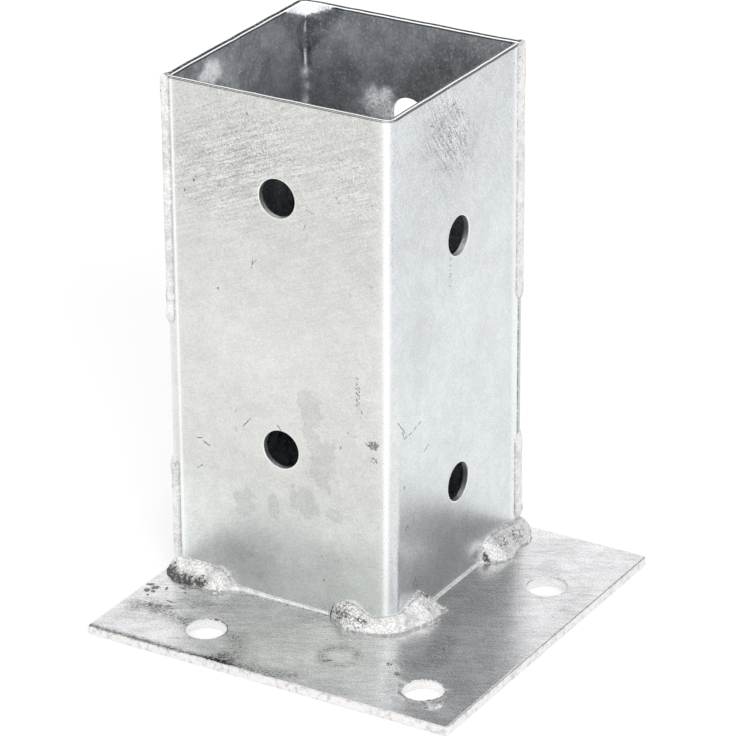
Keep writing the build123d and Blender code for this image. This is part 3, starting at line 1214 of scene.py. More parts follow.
        paint = {
            "side": np.clip((0.30 - border) / 0.25, 0, 1),
            "stain": np.maximum(painted(plan, self.stains()) * top, 0.14),
            "cloud": tinted(plan, (*self.clouds_and_shade(), *self.smears())) * top,
            # bright: a painted highlight round each hole's edge, and one small bright spot.
            "bright": np.maximum(spot, firm(bore, 0.05, 0.45) * 0.62),
            "rough": np.maximum(patch, burr) * top,
            "greener_front": painted(plan, (self.greener_front,)) * top,
        }
        return Shell(points, quads, paint)

    def build(self, material: bpy.types.Material) -> None:
        """Makes the plate's piece."""
        dress(self.shell().to_object("plate_body"), [material], "base_plate")


FRONT_STAINS = (
    *blots(
        (12.3, 60.9, 3.4, 2.5, 1), (12.5, 56, 2.8, 2, 0.72), (-37.7, 130.1, 1.8, 1.1, 0.8),
        (11.8, 110, 1.1, 1, 0.85), (-33.8, 54.9, 1.1, 1, 0.75), (13.5, 35.3, 0.9, 1, 0.8),
        (-54, 152.5, 2.2, 1.2, 0.7, 30), (2, 146, 3, 2, 0.55, 20), (-9, 53, 10, 16, 0.3, 0, 1),
        (-10.5, 37.1, 9, 8, 0.34, 0, 1), (-36, 47, 13, 8, 0.34, 0, 1), (-44, 30, 9, 5, 0.32, -30, 1),
        (-30, 140, 30, 22, 0.3, 22, 1),
    ),
    *trails(
        (1.9, 0.7, (7.1, 80.2), (7.4, 72)), (1.7, 0.66, (8, 70.4), (8.4, 67.4)),
        (0.9, 0.6, (-52.4, 135.8), (-32.7, 143.8)), (0.8, 0.64, (-49, 145.5), (-41.2, 147.9)),
        (0.9, 0.64, (-34.4, 137), (-22, 143.6)), (0.8, 0.62, (-26.7, 136.2), (-16, 143)),
        (0.9, 0.54, (-52.7, 125.4), (-36, 133)), (0.7, 0.62, (-55.6, 112), (-55.6, 158)),
    ),
)
FRONT_PATCHES = blots(
    (-8.9, 68.2, 6, 9.5, 1, 15, 0.8), (-9.3, 60, 2.6, 5.5, 1, 10, 0.8),
    (-4.9, 52.3, 9.5, 14.5, 0.85, 0, 0.8), (-10.5, 37.1, 8.6, 8.2, 1, 0, 0.8),
    (-1, 35.3, 5.2, 3.8, 0.95, 0, 0.8), (-32.1, 32.3, 7.2, 7, 1, 0, 0.8),
    (-21.6, 32.8, 3, 7.5, 0.95, 0, 0.8), (-32.9, 48.2, 5.5, 4.5, 0.62, 0, 0.9),
)
# Lighter and darker areas of the -Y wall; the darker ones by the foot are painted shade by the crease.
FRONT_CLOUDS_AND_SHADE = blots(
    (-31, 13, 26, 13, -0.13, 4, 1), (-12, 12, 28, 10, -0.02, 0, 1), (-54, 22, 7, 22, 0.14, 0, 1),
    (8, 22, 18, 16, 0.09, 0, 1), (-14, 80, 40, 22, 0.05, 0, 1), (-47, 72, 12, 30, -0.03, 0, 1),
    (4, 32, 24, 13, 0.06, 0, 1), (-36, 30, 22, 10, 0.05, 0, 1), (-8, 28, 16, 9, 0.06, 0, 1),
    (-6, 9, 14, 7, 0.05, 0, 1),
)
SIDE_STAINS = (
    *blots(
        (8, 150, 13, 5.5, 0.5, -18, 0.8), (10, 142, 7, 9, 0.42, -40, 0.9),
        (15.6, 154, 1.8, 2.6, 0.82, -50), (2.9, 151.7, 1.6, 2.4, 0.82, -50),
        (-11.4, 32.8, 2.2, 1.5, 0.85, 25), (-6.3, 13, 2, 2.4, 0.72), (15.1, 127.4, 2.6, 1.5, 0.5),
        (50.5, 154.5, 2, 1.2, 0.75), (48, 151, 1, 0.8, 0.75),
    ),
    *trails(
        (1.6, 0.72, (13.8, 107.9), (13.8, 98.3)), (0.9, 0.58, (-17.6, 127.9), (-17.8, 107.4)),
        (0.7, 0.52, (52, 20), (52, 158)),
    ),
)
# Lighter and darker areas of the +X wall; the darker one by the foot is painted shade by the crease.
SIDE_CLOUDS_AND_SHADE = blots(
    (14, 143, 26, 16, -0.18, -30, 1), (-7, 88, 13, 26, -0.06, 0, 1), (18, 15, 26, 12, -0.08, -25, 1),
    (27.2, 9.1, 4.5, 3, 0.25, 20, 1), (42, 75, 9, 50, 0.03, 0, 1), (-13, 17, 9, 16, 0.2, 0, 1),
    (0, 86, 14, 24, -0.04, 0, 1),
)
FRONT_BRUSHED = blots((-32, 138, 36, 24, 1, 22, 0.9), (8, 140, 16, 20, 0.5, 0, 1))
SIDE_BRUSHED = blots((14, 146, 22, 14, 1.8, -40, 0.9))


@dataclass
class SleeveHalf:
    """One folded sheet, its long leg on the -Y side and its short leg on the +X side.

    Each of its waves is a noise with a size and a height. The rim's lumps are a noise too, with a
    size, how far the rim is raised and how high the lumps are. Set zinc thickens the back half's
    inner corner, and the inner finish starts at a share of the sheet's thickness.
    """

    turn: Turn
    seed: int
    step: float = 0.85
    hole_edge: float = 0.35
    waves: tuple[tuple[float, float], ...] = ((22.0, 0.07), (7.0, 0.02))
    calm_border: float = 4.0
    rim_lumps: tuple[float, float, float] = (4.2, 0.06, 0.07)
    rim_reach: float = 1.2
    set_zinc: float = 1.15
    inner_finish: float = 0.87

    @staticmethod
    def inward(w: np.ndarray) -> np.ndarray:
        """How far inside the sheet is: 0 on its outer face and 1 on its inner face."""
        return np.clip(-w / SIZES.gauge * 1.6 - 0.3, 0.0, 1.0)

    def spans(self) -> tuple[float, float, float]:
        """The long leg's flat length, the fold's length, and the whole length of the outline."""
        long_leg = 2 * SIZES.half - SIZES.fold
        bend = SIZES.fold * math.pi / 2
        short_leg = 2 * SIZES.half - SIZES.gauge - SIZES.seam_gap - SIZES.fold
        return long_leg, bend, long_leg + bend + short_leg

    def folded(self, points: np.ndarray) -> np.ndarray:
        """Folds u, v and w into the part's x, y and z.

        The long leg runs along +X, then u turns into an angle about the fold's axis, and the short
        leg runs along +Y. The outward distance w is always laid off along the sheet's own normal.
        """
        long_leg, bend, _ = self.spans()
        u, v, w = points.T
        angle = np.clip((u - long_leg) / SIZES.fold, 0.0, math.pi / 2)
        inner = SIZES.half - SIZES.fold
        before, after = np.minimum(u - long_leg, 0.0), np.maximum(u - long_leg - bend, 0.0)
        x = inner + before + (SIZES.fold + w) * np.sin(angle)
        y = -inner + after - (SIZES.fold + w) * np.cos(angle)
        return np.stack([x, y, v], axis=1)

    def paint(self, flat: np.ndarray, placed: np.ndarray) -> dict[str, np.ndarray]:
        """Painted values from the flat sheet's u, v and w and from the placed points.

        The front half has the marks of its two outer faces. The back half has the drips and light
        spots of the inner corner that shows through the open top.

        Args:
            flat: Points of the flat sheet.
            placed: The same points in the part's frame.

        Returns:
            The values by name.
        """
        long_leg, bend, length = self.spans()
        u, v, w = flat.T
        middle = long_leg + bend / 2
        inner = self.inward(w)
        long_side, short_side = placed[:, [0, 2]], placed[:, [1, 2]]
        # Painted shade inside the sleeve: the inner faces darken lower down and lighten a little near the
        # top.
        deep = (0.03 - 0.45 * firm(v, 96.0, 128.0)) * inner
        first_edge = bell(u, 3.0, 0.45) * 0.85 + bell(u, 0.0, 1.4) * 0.35
        last_edge = 0.62 * np.clip((u - length + 4.4) / 1.6, 0.0, 1.0)
        values = {
            "leg": np.clip((u - long_leg) / bend, 0.0, 1.0),
            "low": firm(v, 16.0, 44.0),
            # fold: the fold's painted highlight
            "fold": self.fold_highlight(u - middle, v),
            "bright": np.maximum(first_edge, last_edge) * (1 - inner),
            "stain": np.full(len(u), 0.15),
            "cloud": deep,
            "brushed": 0.15 + 0.0 * u,
            "rough": 0.0 * u,
            "patch": 0.0 * u,
            "depth": -w,
        }
        if self.turn is Turn.FRONT:
            on_long = (u < middle) & (inner < 0.5)
            on_short = (u > middle) & (inner < 0.5)
            stains = painted(long_side, FRONT_STAINS) * on_long
            stains += painted(short_side, SIDE_STAINS) * on_short
            values["stain"] = np.maximum(values["stain"], stains)
            values["cloud"] = deep + tinted(long_side, FRONT_CLOUDS_AND_SHADE) * on_long
            values["cloud"] += tinted(short_side, SIDE_CLOUDS_AND_SHADE) * on_short
            values["patch"] = painted(long_side, FRONT_PATCHES) * on_long
            values["brushed"] = painted(long_side, FRONT_BRUSHED) * on_long
            values["brushed"] += painted(short_side, SIDE_BRUSHED) * on_short
        else:
            within = inner > 0.5
            spots, shade, rough = self.corner_marks(u - middle, v, long_side, short_side)
            values["bright"] = np.maximum(values["bright"], spots * within)
            values["cloud"] = deep + shade * within
            values["rough"] = rough * within * 1.4
        return values

    def corner_marks(
        self, aside: np.ndarray, height: np.ndarray, long_side: np.ndarray, short_side: np.ndarray
    ) -> tuple[np.ndarray, np.ndarray, np.ndarray]:
        """The marks of the inner corner: drips down the fold, set zinc and two light patches.

        Args:
            aside: Distance along the sheet from the fold's middle, below zero on the long leg.
            height: Height above the ground.
            long_side: Places on the long leg's face, across and up.
            short_side: Places on the short leg's face, across and up.

        Returns:
            The light spots, the lighter and darker areas with their painted light and shade, and how rough
            the two patches are.
        """
        from_fold = np.abs(aside)
        on_long, on_short = aside < 0, aside > 0
        long_spot = Blot((-27.8, 132.6), (7.8, 7.2), 1.0, 0.0, 0.6).mask(long_side) * on_long
        short_spot = Blot((3.4, 153.5), (9.0, 5.5), 0.95, 0.0, 0.6).mask(short_side) * on_short
        runs = firm(np.abs(height - 152.5), 1.2, 2.4) + firm(np.abs(height - 142.5), 1.8, 3.4)
        drip = bell(from_fold, 0.0, 0.75) * runs
        drops = sum(
            bell(np.hypot((aside - across) * 0.6, height - up), 0.0, radius) * 0.75
            for across, up, radius in ((0.0, 138.2, 1.7), (-1.2, 133.6, 1.2), (0.2, 129.0, 1.5))
        )
        zinc = 5.0 * self.puddle(from_fold, SIZES.rim - height)
        spots = np.maximum.reduce([long_spot, short_spot, drip, drops, zinc])
        tip = 143.0
        vee = firm(from_fold - 0.8 * np.clip(height - tip, 0.0, 15.0), 1.5, 3.5)
        shade = -np.where(on_long, 0.36, 0.20) * (vee * firm(tip - height, 0.0, 2.0))
        shade -= 0.22 * bell(from_fold, 2.6, 1.0) * firm(np.abs(height - tip), 3.0, 5.0)
        # Painted light and shade on the inside: a lighter area and a darker one on the long leg, and a
        # lighter one on the short leg.
        lighter = Blot((-36.0, 151.0), (18.0, 12.0), 0.14, 0.0, 1.0).mask(long_side)
        darker = Blot((-8.0, 149.0), (18.0, 12.0), -0.24, 0.0, 1.0).mask(long_side)
        shade += (lighter + darker) * on_long
        shade += Blot((36.0, 150.0), (16.0, 12.0), 0.12, 0.0, 1.0).mask(short_side) * on_short
        return spots, shade, np.maximum(long_spot, short_spot)

    @staticmethod
    def fold_highlight(aside: np.ndarray, height: np.ndarray) -> np.ndarray:
        """The fold's painted highlight, a bright band: it leans to the long leg at the foot, and is soft on
        that side.
        """
        away = aside - np.interp(height, (10.0, 60.0, 150.0), (-2.1, -1.5, -0.95))
        core = firm(np.abs(away), 0.2, 1.75 - 0.35 * firm(height, 20.0, 90.0))
        shoulder = bell(np.minimum(away, 0.0), 0.0, 2.9) * bell(np.maximum(away, 0.0), 0.0, 0.9)
        return 0.46 * core + 0.24 * shoulder

    @staticmethod
    def puddle(from_fold: np.ndarray, below: np.ndarray) -> np.ndarray:
        """Where zinc has set in the inner corner under the rim: a wedge that narrows downwards."""
        return firm(below * 1.15 + from_fold * 0.44, 4.4, 5.6)

    def shell(self) -> Shell:
        """The folded sheet's skin, with shallow waves and a slightly lumpy rim.

        Returns:
            The skin with its painted values.
        """
        long_leg, bend, length = self.spans()
        side_u = long_leg + bend + SIZES.half - SIZES.fold
        holes = [Hole(SIZES.half, z, SIZES.wall_hole) for z in SIZES.front_rows]
        holes += [Hole(side_u, z, SIZES.wall_hole) for z in SIZES.side_rows]
        fold_stops = [*np.linspace(long_leg - 2.4, long_leg, 6), *np.linspace(long_leg, long_leg + bend, 13)]
        sheet = HoledSheet(
            low=(0.0, SIZES.foot),
            high=(length, SIZES.rim),
            gauge=SIZES.gauge,
            corner=SIZES.edge,
            edge=SIZES.edge,
            hole_edge=self.hole_edge,
            step=self.step,
            holes=tuple(holes),
            stops_u=(1.5, 2.4, 2.7, 3.0, 3.3, 3.6, 4.5, *fold_stops),
        )
        points, quads = sheet.skin()
        border, bore = sheet.distances(points)
        flat = points.copy()
        v = flat[:, 1]
        inner = self.inward(flat[:, 2])
        waves = layered(points * (1, 1, 0), self.waves, self.seed)
        calm = np.clip(border / self.calm_border, 0.0, 1.0)
        points[:, 2] += np.abs(waves) * calm * (1.7 * inner - 1.0)
        size, raised, lumps = self.rim_lumps
        top = np.clip(1.0 - (SIZES.rim - v) / self.rim_reach, 0.0, 1.0)
        points[:, 1] += top * (raised + lumps * smooth_noise(points * (1, 0, 0), size, self.seed + 2))
        if self.turn is Turn.BACK:
            below, from_fold = SIZES.rim - v, np.abs(points[:, 0] - long_leg - bend / 2)
            bulge = np.clip(below / 4.0, 0.0, 1.0) * firm(below, 4.6, 9.0) * firm(from_fold, 3.0, 8.0)
            points[:, 2] -= self.set_zinc * bulge * (inner > 0.5)
        points = turned(self.folded(points), self.turn.value)
        values = self.paint(flat, points)
        values["border"] = np.where(v < SIZES.foot + 3, 9.0, border)
        values["bore"] = bore
        if self.turn is Turn.BACK:
            depths, shares = (0.0, 1.18, 1.55, 1.69, 2.0), (0.0, 0.20, 0.40, 0.95, 1.0)
            values["depth"] = np.interp(-flat[:, 2], depths, shares)
        short = flat[quads, 0].mean(axis=1) > long_leg + bend / 2
        finish = np.where(flat[quads, 2].mean(axis=1) < -self.inner_finish * SIZES.gauge, 2, short)
        return Shell(points, quads, values, finish)

    def build(self, materials: list[bpy.types.Material]) -> None:
        """Makes the half's piece with the finishes of its long leg, its short leg and its inside."""
        word = self.turn.name.lower()
        piece = self.shell().to_object(f"sleeve_{word}_sheet")
        dress(piece, materials, f"sleeve_half_{word}")


@dataclass
class Weld:
    """A weld, by the names of its piece and of its solid, and by where it stands."""

    name: str
    node: str
    turn: Turn

    def shell(self) -> Shell:
        """The weld's skin, which each kind of weld makes in its own way."""
        raise NotImplementedError

    def build(self, material: bpy.types.Material) -> None:
        """Makes the weld's piece."""
        dress(self.shell().to_object(self.name), [material], self.node)


@dataclass
class SeamBead(Weld):
    """A bead up the seam at the -X -Y corner, or half a turn round on the other seam."""

    low: float
    high: float
    seed: int
    lumps: tuple[tuple[float, float, float], ...]
    top_taper: float = 3.2
    low_taper: float = 3.2
    face_width: float = 2.2
    side_width: float = 3.75
    proud: float = 0.62
    ripple: float = 0.03
    ripple_length: float = 1.9
    corner_run: float = 2.6
    step: float = 0.32
    places_round: int = 21

    def shell(self) -> Shell:
        """The bead's skin.

        A section goes from the toe on the long leg round the corner to the toe on the side, and
        stands proud of that line by a sine hump. It comes back just under the sheet's surface. The
        hump grows and shrinks up the seam with ripples, noise, lumps and an oval at each end.
        """
        z = np.linspace(self.low, self.high, max(8, round((self.high - self.low) / self.step)))
        share = np.linspace(0.0, 1.0, self.places_round)
        run = share * (self.face_width + self.side_width)
        x = np.maximum(self.face_width - run, 0.0)
        y = np.maximum(run - self.face_width, 0.0)
        turning = (run - self.face_width + self.corner_run / 2) / self.corner_run
        bearing = np.clip(turning, 0.0, 1.0) * math.pi / 2
        out = np.stack([-np.sin(bearing), -np.cos(bearing)], axis=1)
        ends = np.minimum((z - self.low) / self.low_taper, (self.high - z) / self.top_taper)
        oval = np.sqrt(np.clip(1.0 - (1.0 - np.clip(ends, 0.0, 1.0)) ** 2, 0.0, 1.0))
        grid_z, grid_run = np.meshgrid(z, run, indexing="ij")
        places = np.stack([grid_run, grid_z * 0.5, 0 * grid_z], axis=-1).reshape(-1, 3)
        rough = smooth_noise(places, 0.9, self.seed).reshape(grid_z.shape)
        slow = smooth_noise(places, 3.6, self.seed + 1).reshape(grid_z.shape)
        ripple = self.ripple * np.sin(2 * math.pi * (z / self.ripple_length + 0.3 * np.sin(z / 3.1)))
        size = 0.95 + ripple[:, None] + 0.07 * rough + 0.14 * slow
        for centre, spread, gain in self.lumps:
            size += gain * bell(z, centre, spread)[:, None] * (1 + 0.3 * rough)
        crown = np.sin(math.pi * share) ** 0.55
        hump = crown * np.clip(size, 0.15, 1.9) * self.proud * oval[:, None]
        base = np.stack([x - SIZES.half, y - SIZES.half], axis=1)
        outer = base[None] + out[None] * hump[..., None]
        width = (0.35 + 0.65 * oval)[:, None, None]
        outer = outer * width + np.array([-SIZES.half, -SIZES.half]) * (1 - width)
        near, far = -SIZES.half + 0.3, -SIZES.half + 2.4
        back = np.broadcast_to(np.array([[near, far], [near, near], [far - 0.8, near]]), (len(z), 3, 2))
        plan = np.concatenate([outer, back], axis=1)
        height = np.broadcast_to(z[:, None, None], (*plan.shape[:2], 1))
        half_turn = 0 if self.turn is Turn.LEFT else 180
        sections = turned(np.concatenate([plan, height], axis=-1), half_turn)
        lumpy = sum(bell(z, centre, spread * 1.2) for centre, spread, _ in self.lumps)[:, None]
        burned = 0.22 + 0.34 * np.clip(lumpy, 0, 1) * (0.5 + rough) + 0.08 * slow
        toe = 0.4 * np.maximum(bell(share, 0.03, 0.06), bell(share, 0.97, 0.06))[None] + 0 * burned
        return weld_shell(sections, {"burned": burned, "toe": toe, "curled": 0 * burned + 0.12})


@dataclass
class FootBead(Weld):
    """A fillet weld round one corner of the sleeve's foot, with a thin zinc run to the next one.

    Places along it are measured from the corner, below zero on its first leg. At each place, rise
    is its height on the wall and reach its width on the plate. A burned patch has a centre and a
    spread along the weld and round its section, where 0 degrees is the plate and 90 the wall.
    """

    corner: float
    rise: tuple[tuple[float, float], ...]
    reach: tuple[tuple[float, float], ...]
    burned: tuple[tuple[float, float, float, float, float], ...]
    limit_first: float = 9.0
    limit_second: float = 9.0
    wrinkle: float = 0.002
    furrow: float = 0.0
    curled: tuple[tuple[float, float, float, float, float], ...] = ()
    flatness: tuple[tuple[float, float], ...] = ((0.0, 1.3),)
    seed: int = 1
    step: float = 0.24
    places_round: int = 36
    places_in_bend: int = 25
    ripple_length: float = 1.9
    sunk: float = 0.12

    def path(self) -> tuple[np.ndarray, np.ndarray, np.ndarray]:
        """Places along the weld, with the wall's point and outward direction at each."""
        low, high = self.rise[0][0], self.rise[-1][0]
        bend = np.linspace(-self.corner, self.corner, self.places_in_bend)
        s = grid_lines(low, high, self.step, list(bend))
        angle = np.clip((s + self.corner) / (2 * self.corner), 0.0, 1.0) * math.pi / 2
        out = np.stack([np.sin(angle), -np.cos(angle)], axis=1)
        inner = SIZES.half - self.corner
        before, after = np.minimum(s + self.corner, 0.0), np.maximum(s - self.corner, 0.0)
        wall = np.stack([inner + before, -inner + after], axis=1) + out * self.corner
        return s, wall, out

    @staticmethod
    def patches(s: np.ndarray, degrees: np.ndarray, rows: tuple[tuple[float, ...], ...]) -> np.ndarray:
        """How strongly each place lies in one of some patches."""
        total = 0 * s
        for centre, turn_at, spread, turn_spread, gain in rows:
            here = gain * bell(s, centre, spread) * bell(degrees, turn_at, turn_spread)
            total = np.maximum(total, here)
        return total

    def shell(self) -> Shell:
        """The weld's skin.

        A section is an arc from the wall to the plate: reach times the cosine and rise times the
        sine of an angle, each to the power that flatness gives. It closes just inside the wall and
        the plate. Faint crescents, lumps, furrows and burned pits change its size.
        """
        s, wall, out = self.path()
        rise = np.interp(s, *zip(*self.rise))
        reach = np.interp(s, *zip(*self.reach))
        smooth = np.array([1, 2, 3, 4, 3, 2, 1]) / 16.0
        rise, reach = (np.convolve(np.pad(a, 3, mode="edge"), smooth, "valid") for a in (rise, reach))
        limit = np.where(s < 0, self.limit_first, self.limit_second)[:, None]
        angle = np.linspace(0.0, math.pi / 2, self.places_round)
        grid_s, grid_a = np.meshgrid(s, angle, indexing="ij")
        degrees = np.degrees(grid_a)
        girth = grid_a * 0.5 * (rise + reach)[:, None]
        places = np.stack([grid_s, girth, 0 * grid_s], axis=-1).reshape(-1, 3)
        fine, rough, slow = (
            smooth_noise(places, size, self.seed + k).reshape(grid_s.shape)
            for k, size in enumerate((0.55, 1.1, 3.2))
        )
        heat = self.patches(grid_s, degrees, self.burned)
        curled = self.patches(grid_s, degrees, self.curled)
        crescent = grid_s + 1.1 * np.sin(2 * grid_a) + 0.7 * slow
        ripple = np.sin(2 * math.pi * crescent / self.ripple_length)
        body = np.clip((rise - 0.8) / 2.5, 0.0, 1.0)[:, None]
        crown = np.sin(2 * grid_a).clip(0) ** 0.5
        size = 1.0 + body * crown * (self.wrinkle * ripple + 0.014 * rough + 0.04 * slow)
        size -= body * heat * np.clip(fine + 0.35, 0, 1) * 0.16
        size += body * crown * self.furrow * np.sin(13.0 * grid_a + 0.8 * rough) * firm(-grid_s, -9.0, -4.0)
        size += (1 - body) * 0.07 * rough
        power = np.interp(s, *zip(*self.flatness))[:, None]
        out_share, up_share = np.cos(grid_a).clip(0) ** power, np.sin(grid_a).clip(0) ** power
        flat = np.minimum(reach[:, None] * size, limit) * out_share
        tall = rise[:, None] * size * up_share
        under = np.full((len(s), 1), -self.sunk)
        flat = np.concatenate([flat, under, under, flat[:, :1]], axis=1)
        tall = np.concatenate([tall, tall[:, -1:], under, under], axis=1)
        plan = wall[:, None] + out[:, None] * flat[..., None]
        points = np.concatenate([plan, (SIZES.foot + tall)[..., None]], axis=-1)
        edges = [0.8 * bell(out_share, 0.985, 0.018), 0.75 * bell(up_share, 0.955, 0.016)]
        toes = np.max(edges, axis=0) * (0.30 + 0.70 * body)
        toes = np.maximum(toes, 0.75 * bell(out_share, 0.60, 0.10) * (1.0 - body))
        burned = np.clip(0.20 + (0.04 + heat * 0.82 + 0.06 * slow) * body, 0.0, 1.0)
        curled = np.maximum(curled, 0.34 * body)
        values = {"burned": burned, "toe": toes, "curled": curled}
        return weld_shell(turned(points, self.turn.value), values)


def seam_beads() -> list[SeamBead]:
    """The four seam beads, upper and lower on each seam."""
    upper_left = ((86.5, 2.2, 0.85), (92.5, 2.0, 0.40), (156.0, 3.4, 0.15))
    lower_left = ((38.0, 2.4, 0.45), (31.0, 1.5, 0.25))
    upper_right = ((155.5, 2.2, 0.35), (149.5, 1.6, 0.30), (84.0, 2.4, 0.3))
    lower_right = ((32.0, 2.6, 0.25), (11.0, 2.5, 0.5))
    rows = (
        ("seam_bead_left_upper", "seam_weld_left_upper", Turn.LEFT, 84.0, 160.4, 11, upper_left, 0.9),
        ("seam_bead_left_lower", "seam_weld_left_lower", Turn.LEFT, 7.4, 41.4, 21, lower_left),
        ("seam_bead_right_upper", "seam_weld_right_upper", Turn.RIGHT, 80.0, 160.4, 31, upper_right, 0.9),
        ("seam_bead_right_lower", "seam_weld_right_lower", Turn.RIGHT, 7.4, 36.4, 41, lower_right),
    )
    return [SeamBead(*row) for row in rows]


def foot_beads() -> list[FootBead]:
    """The four foot welds, the three that show and the hidden one."""
    return [
        FootBead(
            "foot_bead_left",
            "foot_weld_left",
            Turn.LEFT,
            SIZES.edge,
            rise=(
                (-14, 0.2), (-13.2, 2.4), (-11, 4.4), (-3, 6), (0.5, 6), (4.6, 5.8), (12.7, 5.6),
                (16.3, 6.1), (18.9, 4.6), (20.4, 2), (22.5, 1.2), (30, 0.8), (42, 0.55), (53.5, 0.45),
            ),
            reach=(
                (-14, 0.3), (-12, 3.3), (0, 3.5), (1.5, 5.2), (3.5, 6.6), (6.4, 5.8), (12.7, 5.9),
                (16, 6.9), (19, 5.6), (21, 2.2), (24, 1.2), (32, 0.9), (53.5, 0.7),
            ),
            burned=(
                (0.5, 20, 5, 38, 1), (6, 18, 5.5, 30, 1), (11, 24, 3.6, 24, 1),
                (-1.5, 60, 1.6, 50, 0.8),
            ),
            limit_first=3.5,
            curled=(
                (12, 62, 9, 18, 0.25), (17.5, 45, 3, 40, 0.5),
            ),
            seed=51,
            flatness=(
                (-14, 1.6), (-6, 2.2), (3, 2.1), (11.5, 1.9), (15, 1.25), (20, 1.1),
            ),
        ),
        FootBead(
            "foot_bead_front",
            "foot_weld_front",
            Turn.FRONT,
            SIZES.fold,
            rise=(
                (-22, 0.2), (-21, 1.8), (-19.8, 4.3), (-17.2, 6.1), (-13.3, 6.6), (-10.7, 5.2),
                (-8.6, 3.5), (-6, 3.2), (-1.3, 4.8), (5, 5.2), (8.7, 6.4), (14.2, 7.1), (15.4, 6.4),
                (19, 2), (20.5, 0.9), (24, 0.62), (51, 0.52),
            ),
            reach=(
                (-22, 0.3), (-21, 1.4), (-19, 3.4), (-15.3, 5.4), (-11.2, 6.4), (-5.5, 5.6), (-2, 4.4),
                (0, 4), (3, 4.2), (7.3, 6.3), (10.1, 7.6), (14, 8), (15.5, 7.4), (16.6, 5), (17.6, 4.6),
                (18.4, 7.2), (19.4, 7.6), (20.2, 5), (21.5, 1.4), (24, 0.85), (51, 0.75),
            ),
            burned=(
                (-20.3, 40, 1.3, 60, 1), (-15.5, 40, 4.6, 26, 0.62), (-9, 50, 2.4, 20, 0.5),
                (13.8, 70, 1.3, 26, 0.62), (17.2, 50, 1.4, 30, 0.45),
            ),
            curled=(
                (-16, 45, 6, 34, 1.2), (-9.5, 45, 4, 30, 1), (-3, 50, 5, 25, 0.3),
                (12, 55, 4.5, 40, 0.55), (19, 40, 2, 50, 0.8),
            ),
            wrinkle=0.001,
            furrow=0.012,
            seed=61,
            flatness=(
                (-22, 1.1), (-14, 1.15), (-9, 1.5), (-4, 1.3), (6, 1.35), (14, 1.2),
            ),
        ),
        FootBead(
            "foot_bead_right",
            "foot_weld_right",
            Turn.RIGHT,
            SIZES.edge,
            rise=(
                (-25, 0.2), (-24.6, 2.6), (-23.3, 5.2), (-19.4, 6.9), (-12.9, 6.2), (-7.6, 5.2),
                (-2.3, 4.4), (3, 4.4), (11, 4.2), (13, 2.6), (14.5, 0.6), (51, 0.5),
            ),
            reach=(
                (-25, 0.3), (-24.4, 2.4), (-22.3, 5.2), (-20, 7), (-16.5, 7.4), (-11.7, 6.2),
                (-8.5, 6.2), (-6, 6.8), (-3, 6), (0, 3.5), (12, 3.4), (14.5, 1), (51, 0.8),
            ),
            burned=(
                (-24.3, 34, 0.7, 34, 1.3), (-15.5, 50, 3.6, 14, 0.4), (-8.5, 50, 3, 18, 0.36),
            ),
            curled=(
                (-17, 48, 4.6, 24, 1), (-9.5, 46, 4.6, 28, 1),
            ),
            limit_second=3.5,
            wrinkle=0.0,
            seed=71,
            flatness=(
                (-25, 1.3), (-18, 1.6), (-10, 1.6), (-3, 1.3),
            ),
        ),
        FootBead(
            "foot_bead_back",
            "foot_weld_back",
            Turn.BACK,
            SIZES.fold,
            rise=(
                (-14, 0.2), (-13, 2.6), (-10.5, 4.8), (0, 5), (10.5, 4.8), (13, 2.6), (14.5, 0.6),
                (61.5, 0.5),
            ),
            reach=(
                (-14, 0.3), (-12.5, 3.2), (0, 3.5), (12.5, 3.2), (14.5, 1), (61.5, 0.8),
            ),
            burned=((-8, 30, 3, 30, 0.4),),
            limit_first=3.5,
            limit_second=3.5,
            seed=81,
        ),
    ]


# Studio and camera


def upright(back: np.ndarray) -> tuple[np.ndarray, np.ndarray]:
    """The level direction to the right of a view, and its upward direction."""
    right = np.cross([0.0, 0.0, 1.0], back)
    right /= np.linalg.norm(right)
    return right, np.cross(back, right)


def standing(right: np.ndarray, up: np.ndarray, back: np.ndarray, place: np.ndarray) -> Matrix:
    """The matrix of a thing from its three directions and its place in metres."""
    table = np.eye(4)
    table[:3] = np.stack([right, up, back, place], axis=1)
    return Matrix(table.tolist())


